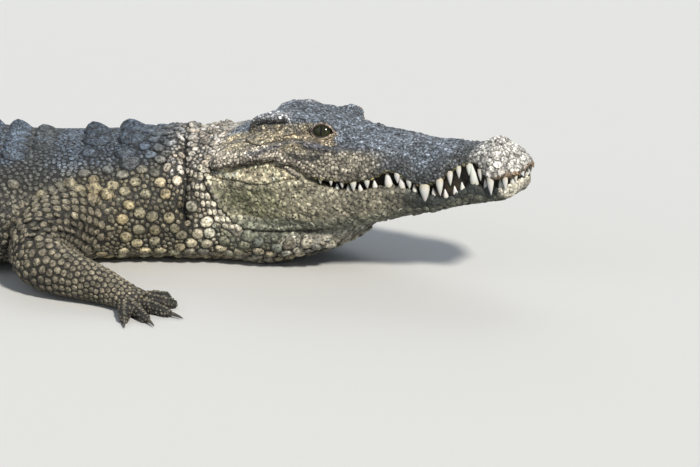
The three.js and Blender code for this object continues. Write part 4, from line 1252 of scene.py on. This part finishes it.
nape = seeds_at(*columns(
    (*on_back(behind, side * out), long, wide, wide * 0.55)
    for behind, out, long, wide in (
        (104, 22, 13, 11), (108, 62, 12, 10), (252, 33, 27, 23), (313, 30, 27, 22), (262, 86, 21, 17),
        (250, 118, 22, 16), (322, 80, 18, 14), (196, 52, 13, 10), (188, 96, 12, 9))
    for side in (-1, 1)))
pleats = []
for side in (-1, 1):
    jaw_line, band_line = ((to_head(line) * [1, side, 1])[:6] for line in (jaw_edge, band_edge))
    wide = np.linalg.norm(from_head(jaw_line) - from_head(band_line), axis=1) / 6.6
    for number, share in enumerate((0.17, 0.5, 0.83)):
        line = on_skin(from_head(jaw_line + (band_line - jaw_line) * share))
        for k in range(3 + 2 * number, len(line) - 2, 7):
            half = np.interp(k / len(line), np.linspace(0, 1, 6), wide)
            pleats.append((line[k], line[k - 1] - line[k + 1], 9.4, half))
pleats = seeds_at(*columns(pleats))
fixed = together(nape, pleats)

here = (skin_behind < 345) & (skin_behind > -190) & off_head & ((z < jaw_bottom(x) + 4) | (x < -50))
here &= ~skin_band & ((skin_leg > 1.09) | ~beside_body)
size = 9.8 - 4.2 * ease(skin_height, 142, 178) - 2.0 * ease(skin_behind, 230, 340)
size = size - 1.5 * (1 - ease(skin_height, 8, 40))
size = size * (1 - 0.4 * around(skin_behind + 0.3 * (skin_height - 120), 120, 132, 10))  # the shoulder fold
big = here & (size > 5.5)
crowded = np.where(big & (skin_behind < 128), size, 0)
strewn = np.where(big & (skin_behind >= 128) & ((skin_leg > 1.32) | ~beside_body), 9.4, 0)
tubercles = together(
    scatter(crowded, toward_tail, fixed=fixed, stretch=1.22, seed=6, spread=0.88),
    scatter(strewn, toward_tail, fixed=fixed, stretch=1.3, seed=7, spread=1.12))
placed = together(fixed, tubercles)
filled = scatter(np.where(here, np.minimum(size, 3.8), 0), toward_tail, fixed=placed, seed=16)
neck = settle(together(placed, filled), fixed=len(fixed["p"]))
is_nape, is_pleat, is_knob, is_fill = kinds_of(nape, pleats, tubercles, filled)
tones = np.random.default_rng(4)
neck_tone = tones.normal(1.24, 0.16, len(is_knob)).clip(0.7, 1.7)[:, None] * (
    1 + tones.uniform(-1, 1, (len(is_knob), 1)) * [0.06, 0.0, -0.10])
far_back = is_knob & (to_body(neck["p"])[0] > 135)
neck_tone[far_back] *= np.where(neck["p"][far_back, 2:] < 150, [1.4, 1.36, 1.24], 1.0)
lay("neck_pebbles", neck, dome, neck["wide"][is_knob] * 0.50, gap=0.9, sunk=1.5, dots=0.8, rim=0.22,
    tone=neck_tone[is_knob], only=is_knob, back=0.2, limit=1.55, others=24)
lay("neck_granules", neck, granule, neck["wide"][is_fill] * 0.38, gap=0.5, sunk=1.2, dots=0.3, rim=0.3,
    tone=0.66 * neck_tone[is_fill], only=is_fill, limit=1.6)
lay("jaw_pleats", neck, cell, 1.6, gap=0.3, sunk=1.0, dots=0.6, rim=0.6, only=is_pleat, limit=1.6,
    tone=np.full(is_pleat.sum(), 1.1))
lay("nape_shields", neck, scute, neck["wide"][is_nape] * 0.30, gap=1.0, sunk=2, rim=0.45, only=is_nape,
    conform=True, keel=nape["keel"], back=0.3, tone=np.full(is_nape.sum(), 0.7), others=40)

# ------------------------------------------------------------------ the scales of the back and flanks
# Rows of square keeled shields cover the back. Down the flanks stand rows of oval knobs, with soft skin of
# small round granules between them, and flat oblong plates pave the belly.


def at_distances(line, at):
    """The points of a line that are these distances along it."""
    gone = gone_along(line)
    return np.stack([np.interp(at, gone, line[:, i]) for i in range(3)], 1)


def girth(behind, start, end, pitch):
    """Points round the body at a station, evenly spaced between two shares of the way from top to bottom."""
    ring = body_surface(np.full(240, behind), np.linspace(math.pi / 2, math.pi * 1.5, 240), COAT)
    whole = gone_along(ring)[-1]
    reach = (end - start) * whole
    number = max(1, round(reach / pitch))
    at = start * whole + (np.arange(number) + 0.5) * reach / number
    left = at_distances(ring, at[at < end * whole - 1])
    origin, forward, across = body_axes(behind)
    right = left - 2 * ((left - origin) @ across)[:, None] * across
    return np.vstack([left, right]), -forward, reach / number


def free_of_legs(roots, margin):
    body = to_body(roots["p"])
    return chosen(roots, (leg_share(roots["p"], body)[0] > margin)
                  | (np.abs(body[1]) < body_half_width(body[0]) * 0.9))


back = []
for behind in np.arange(402, 1250, 47.0):
    pitch = float(np.clip(body_half_width(behind) * 0.175, 26, 43))
    for column in range(3 if 430 < behind < 1180 else 2):
        for side in (-1, 1):
            place = on_back(behind, side * (column + 0.5) * pitch)
            back.append((*place, 23.5, pitch * 0.5, 5 + 2.5 * column))
back = seeds_at(*columns(back))
knobs, rng = [], np.random.default_rng(21)
for row, behind in enumerate(np.arange(352, 1250, 44.0)):
    for column in range(4):
        share = 0.30 + 0.085 * column + (0.04 if row % 2 else 0) + (0.02 if behind < 450 else 0)
        points, way, _ = girth(behind + rng.uniform(-6, 6), share, share + 0.03, 40)
        for p in points:
            knobs.append((p + rng.normal(0, 2.5, 3), way, rng.uniform(12, 15.5), rng.uniform(8, 10)))
for behind, out, height in ((310, 154, 140), (290, 159, 132)):
    for side in (-1, 1):
        knobs.append((from_body([[behind, side * out, height]])[0], [-1, 0, 0], 13, 10.5))
knobs = free_of_legs(seeds_at(*columns(knobs)), 1.25)
belly = []
for behind in np.arange(10, 1290, 27.0):
    points, way, wide = girth(behind, 0.70, 1.0, 25)
    belly += [(p, way, 13.5, wide / 2) for p in points]
belly = free_of_legs(seeds_at(*columns(belly)), 1.15)

fixed = together(back, knobs, belly)
rise = skin_height / body_top(skin_behind)
size = 4.6 + 1.0 * (1 - ease(rise, 0.25, 0.5)) - 0.5 * ease(rise, 0.8, 0.95)
size[(skin_behind <= 345) | (skin_behind >= 1275) | (skin_leg <= 1.05) & beside_body] = 0
granules = scatter(size, toward_tail, fixed=fixed, stretch=1.1, seed=9)
trunk = settle(together(fixed, granules), fixed=len(fixed["p"]))
is_back, is_knob, is_belly, is_grain = kinds_of(back, knobs, belly, granules)
trunk_tone = tones.normal(1, 0.12, len(is_knob)).clip(0.6, 1.5)
lay("back_shields", trunk, scute, 5.0, gap=1.0, sunk=2.5, rim=0.55, only=is_back, conform=True,
    keel=back["keel"], back=0.25, tone=trunk_tone[is_back], others=30)
lay("flank_knobs", trunk, pebble, trunk["wide"][is_knob] * 0.55, gap=0.6, sunk=2, rim=0.5, only=is_knob,
    keel=2.0, back=0.2, tone=1.7 * trunk_tone[is_knob][:, None] * [1.05, 1.0, 0.88], dots=0.4, others=30)
lay("belly_plates", trunk, pebble, 2.2, gap=0.8, sunk=2, rim=0.6, only=is_belly, tone=trunk_tone[is_belly])
out = to_body(trunk["p"])[1]
for name, here in (("right", is_grain & (out < 0)), ("left", is_grain & (out >= 0))):
    lay("granules_" + name, trunk, granule, 1.5, gap=0.5, sunk=1, rim=0.4, only=here, tone=trunk_tone[here])

# ------------------------------------------------------------------ the scales of the tail
# The tail is ringed with oblong plates, two rings to each bone, and carries a double saw of tall upright
# blades, one pair to each bone, that runs together into a single one over its rear half.
WHORL, CREST_START, CREST_JOIN = 39, 1290, 2190  # a tail bone's length, and where the saw starts and joins
crest_height = through([
    [1290, 16], [1500, 30], [1900, 42], [2150, 50], [2400, 52], [2700, 40], [2900, 24], [2990, 14]])
tail = []
for behind in np.arange(1288, 3008, WHORL / 2):
    points, way, wide = girth(behind, 0.0, 1.0, 21 if behind < 2300 else 15)
    tail += [(p, way, WHORL / 4, wide / 2) for p in points]
lay("tail_plates", seeds_at(*columns(tail)), pebble, 2.4, gap=0.7, sunk=1.6, rim=0.45, back=0.35)

blade_roots = []
for behind in range(CREST_START, 2991, WHORL):
    apart = 0.52 * float(body_half_width(behind)) * (1 - float(ease(behind, 1900, CREST_JOIN)))
    blade_roots += [(behind, side * apart) for side in ((-1, 1) if behind < 2130 else (0,))]
bpy.ops.object.select_all(action="DESELECT")
bpy.ops.mesh.primitive_grid_add(x_subdivisions=6, y_subdivisions=5, size=2)
blade = bpy.context.object
blade_net = read(blade)
net_faces = [tuple(f.vertices) for f in blade.data.polygons]
bpy.data.objects.remove(blade)
across, up = blade_net[:, 0], (blade_net[:, 1] + 1) / 2
swept, upright = 0.98 - 1.72 * up**1.25, -0.92 - 0.05 * up  # its front edge and its back edge
blade_along = WHORL * 0.5 * (swept + (upright - swept) * (1 - across) / 2)
blade_thick = 4.6 * np.sqrt(np.clip(1 - across**2, 0, 1)) * (1 - 0.82 * up)
points, faces, shades, feet = [], [], [], []
rng = np.random.default_rng(17)
for behind, out in blade_roots:
    foot = float(body_top(behind)) - 14 - 0.35 * abs(out)
    tall = 14 + 0.2 * abs(out) + float(crest_height(behind))
    origin, forward, left = body_axes(behind)
    tone = rng.uniform(0.85, 1.15)
    for face_side in (-1, 1):
        begin = len(points) * len(up)
        made = origin + forward * blade_along[:, None] + left * (face_side * blade_thick + out)[:, None]
        made[:, 2] = foot + up * tall
        points.append(made)
        faces += [tuple(i + begin for i in (f[::-1] if face_side > 0 else f)) for f in net_faces]
        feet.append(made[0] * [1, 1, 0] + [0, 0, foot + 10])
        shades.append(np.clip(paint(feet[-1][None]) * tone * (0.75 + 0.5 * up[:, None]), 0, 1))
blades = new_mesh("tail_blades", np.vstack(points), faces)
tint(blades, np.vstack(shades), dots=0.0)
unwrap(blades.data, dict(p=np.array(feet)), [across, up], np.concatenate(faces))
blades.data.materials.append(scale_paint)
work_on(blades)
bpy.ops.object.mode_set(mode="EDIT")
bpy.ops.mesh.select_all(action="SELECT")
bpy.ops.mesh.remove_doubles(threshold=0.00002)
bpy.ops.mesh.normals_make_consistent(inside=False)
bpy.ops.object.mode_set(mode="OBJECT")
bpy.ops.object.shade_smooth_by_angle(angle=math.radians(60))
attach(blades, "root")

# ------------------------------------------------------------------ the scales of the legs
# Rows of scales run round the legs, each raised at its lower edge as if it lay over the next. They shrink
# towards the feet, and beads fill the gaps between them. Each toe has broad plates across its top.
down_leg = np.linspace(0, 1, 200)
for number, (name, leg) in enumerate(legs.items()):
    plates = []
    for turn, length in zip(leg.kind["turns"], leg.kind["lengths"]):
        for t in np.linspace(0.24, 0.93, 8):
            centre, way = leg.toe_path(turn, length, t)
            plates.append((centre + [0, 0, 14], way, length / 11.5 * 0.52, leg.kind["toe"] * 0.72))
    plates = seeds_at(*columns(plates))

    centre_line = np.array([leg.point(t) for t in down_leg])
    run = gone_along(centre_line)
    rows, along, row = [], 0.10 * run[-1], 0
    while along < 0.93 * run[-1]:
        t = float(np.interp(along, run, down_leg))
        steps = [17, 15, 11, 8] if leg.kind is HIND else [13, 12, 9.5, 7]
        step = float(np.interp(t, [0, 0.35, 0.7, 1], steps))
        ring = leg.ring(t, np.linspace(0, 2 * math.pi, 160), 1.5)
        whole = gone_along(ring)[-1]
        count = max(6, round(whole / (step * (1.6 - 0.5 * float(ease(t, 0.4, 0.6))))))
        at = (np.arange(count) + (0.5 if row % 2 else 0)) * whole / count
        way = leg.point(min(1, t + 0.01)) - leg.point(t)
        rows += [(p, way, step * 0.55, whole / count / 2) for p in at_distances(ring, at)]
        along += step
        row += 1
    rows = columns(rows)
    hung = rows[0]
    rows = seeds_at(*rows)
    moved_little = np.linalg.norm(rows["p"] - hung, axis=1) < 9
    rows = chosen(rows, moved_little & (rows["p"][:, 2] > 1.5) & (leg_share(rows["p"])[0] < 1.04))

    fixed = together(plates, rows)
    size = np.interp(skin_down, [0, 0.4, 0.9, 1.2, 2], [5.5, 4.8, 3.6, 3.0, 2.6])
    size[(skin_which != number) | (skin_leg > 1.06) | ~beside_body | (skin_height < 2)] = 0
    beads = scatter(size, toward_tail, fixed=fixed, seed=30 + number)
    _, is_row, is_bead = kinds_of(plates, rows, beads)
    scaled = together(fixed, beads)
    scaled["leg_along"] = leg_share(scaled["p"])[1]
    from_axis = scaled["p"] - centre_line[(np.minimum(scaled["leg_along"], 1) * 199).astype(int)]
    scaled["leg_round"] = np.arctan2(from_axis[:, 2], from_axis @ leg.across)
    lay(name + "_scales", scaled, pebble, np.where(is_row, 0.32, 0.26)[~is_bead] * scaled["wide"][~is_bead],
        gap=0.6, sunk=1.2, rim=0.42, only=~is_bead, back=0.3, dots=0.35, others=18)
    lay(name + "_beads", scaled, granule, 1.0, gap=0.4, sunk=0.8, rim=0.42, only=is_bead, dots=0.4)

# ------------------------------------------------------------------ the eyes
# Each eye is a glassy ball, deep under its brow, whose front bulges a little as a cornea does. The iris is a
# dark olive with paler flecks, round an upright slit.


def two_tone(tree, source, low, dark, high, light):
    """Two colours that run into each other as a value rises from low to high."""
    node = add(tree, "ValToRGB", Fac=source)
    for element, place, colour in zip(node.color_ramp.elements, (low, high), (dark, light)):
        element.position, element.color = place, (*colour, 1)
    return node.outputs["Color"]


def eye_paint(name, ball, ahead, above):
    """A wet dark eye, its iris and slit drawn about the middle of the ball."""
    material, tree, shader = new_paint(name, {
        "Roughness": 0.12, "Specular IOR Level": 0.22, "Coat Weight": 0.12, "Coat Roughness": 0.04})

    def squared(value):
        return maths(tree, "POWER", maths(tree, "ABSOLUTE", value), 2.0)

    place = add(tree, "TexCoord").outputs["Object"]
    from_ball = add(tree, "VectorMath", place, ball, operation="SUBTRACT").outputs["Vector"]
    across, up = (
        add(tree, "VectorMath", from_ball, Vector(way) / (EYE_RADIUS * MM),
            operation="DOT_PRODUCT").outputs["Value"] for way in (ahead, above))
    narrow, tall = squared(maths(tree, "DIVIDE", across, 0.11)), squared(maths(tree, "DIVIDE", up, 0.52))
    slit = ramp(tree, maths(tree, "ADD", narrow, tall), 0.75, 1.25, 0.02, 1.0)
    from_middle = maths(tree, "SQRT", maths(tree, "ADD", squared(across), squared(up)))
    ring = ramp(tree, from_middle, 0.62, 0.86, 1.0, 0.15)
    flecks = add(tree, "TexNoise", Vector=place, Scale=420, Detail=4).outputs["Fac"]
    iris = two_tone(tree, flecks, 0.35, (0.005, 0.006, 0.002), 0.68, (0.040, 0.042, 0.010))
    dim = add(tree, "VectorMath", iris, operation="SCALE", Scale=maths(tree, "MULTIPLY", ring, slit))
    tree.links.new(dim.outputs["Vector"], shader["Base Color"])
    return material


for side, name in ((-1, "eye_right"), (1, "eye_left")):
    centre, gaze, ahead, above = GAZE[side]
    ball = Vector(centre * MM)
    bpy.ops.object.select_all(action="DESELECT")
    bpy.ops.mesh.primitive_uv_sphere_add(segments=48, ring_count=32, radius=(EYE_RADIUS - 0.3) * MM)
    eye = bpy.context.object
    eye.name = name + "_ball"
    bpy.ops.object.mode_set(mode="EDIT")
    bpy.ops.mesh.select_all(action="DESELECT")
    shape = bmesh.from_edit_mesh(eye.data)
    for vertex in shape.verts:
        vertex.select = vertex.co.z > 0.0125
    shape.select_flush(True)
    bmesh.update_edit_mesh(eye.data)
    bpy.ops.transform.translate(value=(0, 0, 0.0004), use_proportional_edit=True,
                                proportional_edit_falloff="SMOOTH", proportional_size=0.004)
    bpy.ops.object.mode_set(mode="OBJECT")
    turn = Matrix((Vector(ahead * -side), Vector(above), Vector(gaze))).transposed()
    eye.data.transform(Matrix.Translation(ball) @ turn.to_4x4())
    bpy.ops.object.shade_smooth()
    eye.data.materials.append(eye_paint(name + "_glass", ball, ahead, above))
    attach(eye, "root")
    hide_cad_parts(name)

# ------------------------------------------------------------------ the teeth
# Ivory pegs, each a slightly curved cone set in the edge of a jaw, given by how far forward it is, its length
# and its radius. The upper ones stand outside the lower, whose fourth rises into the notch behind the nose.
UPPER_TEETH = [
    [462, 8, 3], [449, 16, 4.4], [424, 21, 5.6], [405, 13, 4], [386, 15, 4.2], [371, 14, 4.2], [357, 17, 4.8],
    [339, 21, 6], [312, 23, 8], [286, 12, 4.8], [267, 12, 4.8], [218, 11, 4.6], [196, 13, 5.2], [178, 8, 3.6],
    [160, 7, 3.2], [143, 6, 3]]
LOWER_TEETH = [
    [455, 12, 4.4], [437, 11, 4], [411, 12, 4.2], [392, 29, 6.6], [372, 12, 4.4], [360, 12, 4.2],
    [344, 11, 4.2], [324, 11, 4.2], [292, 10, 4.2], [271, 18, 5.6], [249, 22, 6.6], [227, 11, 4.6],
    [203, 9, 4], [184, 7, 3.6], [166, 7, 3.4]]
bpy.ops.object.select_all(action="DESELECT")
bpy.ops.mesh.primitive_cylinder_add(vertices=14, radius=1, depth=0.3, location=(0, 0, -0.15))
tooth = bpy.context.object
bpy.ops.object.mode_set(mode="EDIT")
bpy.ops.mesh.select_all(action="DESELECT")
shape = bmesh.from_edit_mesh(tooth.data)
for face in shape.faces:
    face.select = face.normal.z > 0.5
bmesh.update_edit_mesh(tooth.data)
for rise, size in (
    (0.10, 0.98), (0.18, 0.88), (0.20, 0.79), (0.18, 0.72), (0.15, 0.63), (0.11, 0.50), (0.06, 0.40),
):
    bpy.ops.mesh.extrude_region_move(TRANSFORM_OT_translate={"value": (0, 0, rise)})
    bpy.ops.transform.resize(value=(size, size, 1))
bpy.ops.object.mode_set(mode="OBJECT")
peg = read(tooth)
peg[:, 2] = np.where(peg[:, 2] < -0.25, -0.30, peg[:, 2])
peg_faces = [tuple(f.vertices) for f in tooth.data.polygons]
bpy.data.objects.remove(tooth)
tooth_paint, tree, shader = new_paint("tooth_ivory", {
    "Roughness": 0.28, "Subsurface Weight": 0.15, "Subsurface Radius": (0.004, 0.003, 0.002)})
place = add(tree, "TexCoord").outputs["Object"]
stain = add(tree, "TexNoise", Vector=place, Scale=90, Detail=4).outputs["Color"]
own = add(tree, "VertexColor", layer_name="tint").outputs["Color"]
shade = add(tree, "Mix", data_type="RGBA", blend_type="MULTIPLY", Factor=0.22, A=own, B=stain)
tree.links.new(shade.outputs["Result"], shader["Base Color"])
along = peg[:, 2]
to_crown = ease(np.clip(along, 0, 1)[:, None], 0.0, 0.32)
tooth_colours = np.array([0.80, 0.75, 0.60]) * (1 - to_crown) + np.array([0.93, 0.92, 0.87]) * to_crown
for name, sockets, way in (("upper_teeth", UPPER_TEETH, -1), ("lower_teeth", LOWER_TEETH, 1)):
    rng = np.random.default_rng(11)
    rows, faces = [], []
    for x, length, radius in sockets:
        if way < 0:
            half, base = float(head_half_width(x)), float(upper_lip(x)) + 2.5
            y = min(0.93 * half, half - 0.4 * radius) * (0.86 if x > 455 else 1)
        else:
            half, base = float(jaw_half_width(x)), float(jaw_top(x)) - 2.5
            y = 0.9 * half - 0.5 * radius
        for side in (-1, 1):
            long = (length + 2.5) * (rng.uniform(0.94, 1.06) if side > 0 else 1.0)
            ahead = peg[:, 0] * radius * 1.08 - 0.10 * radius * (along ** 2)
            lean = 0.14 * long * along - 0.16 * radius * along ** 2 * 2
            out = side * (y + peg[:, 1] * radius * 0.94 + lean)
            start = len(peg) * len(rows)
            turned = (way < 0) != (side < 0)
            faces += [tuple(i + start for i in (f[::-1] if turned else f)) for f in peg_faces]
            rows.append(from_head(np.stack([x + ahead, out, base + way * long * along], 1)))
    teeth = new_mesh(name, np.vstack(rows), faces)
    tint(teeth, np.vstack([tooth_colours] * len(rows)))
    teeth.data.materials.append(tooth_paint)
    work_on(teeth)
    bpy.ops.object.shade_smooth_by_angle(angle=math.radians(50))
    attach(teeth, "root")

# ------------------------------------------------------------------ the claws
# Horn sheaths over the last bone of the first three toes of each foot: the shape of the solids, smoothed.
# The horn is dark, with paler blotches.
claw_paint, tree, shader = new_paint("claw_horn", {"Roughness": 0.38})
place = add(tree, "TexCoord").outputs["Object"]
streaks = add(tree, "TexNoise", Vector=place, Scale=160, Detail=5).outputs["Fac"]
horn = two_tone(tree, streaks, 0.35, (0.025, 0.021, 0.017), 0.8, (0.16, 0.135, 0.10))
tree.links.new(horn, shader["Base Color"])
for name in [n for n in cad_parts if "claw" in n]:
    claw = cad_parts[name].copy()
    claw.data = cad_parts[name].data.copy()
    claw.name = name + "_horn"
    bpy.context.scene.collection.objects.link(claw)
    claw.parent = None
    claw.data.materials.clear()
    work_on(claw)
    bpy.ops.object.mode_set(mode="EDIT")
    bpy.ops.mesh.select_all(action="SELECT")
    bpy.ops.mesh.remove_doubles(threshold=0.00005)
    bpy.ops.mesh.tris_convert_to_quads()
    bpy.ops.object.mode_set(mode="OBJECT")
    apply("SUBSURF", levels=2, render_levels=2)
    bpy.ops.object.shade_smooth()
    claw.data.materials.append(claw_paint)
    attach(claw, "root")
    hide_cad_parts(name)
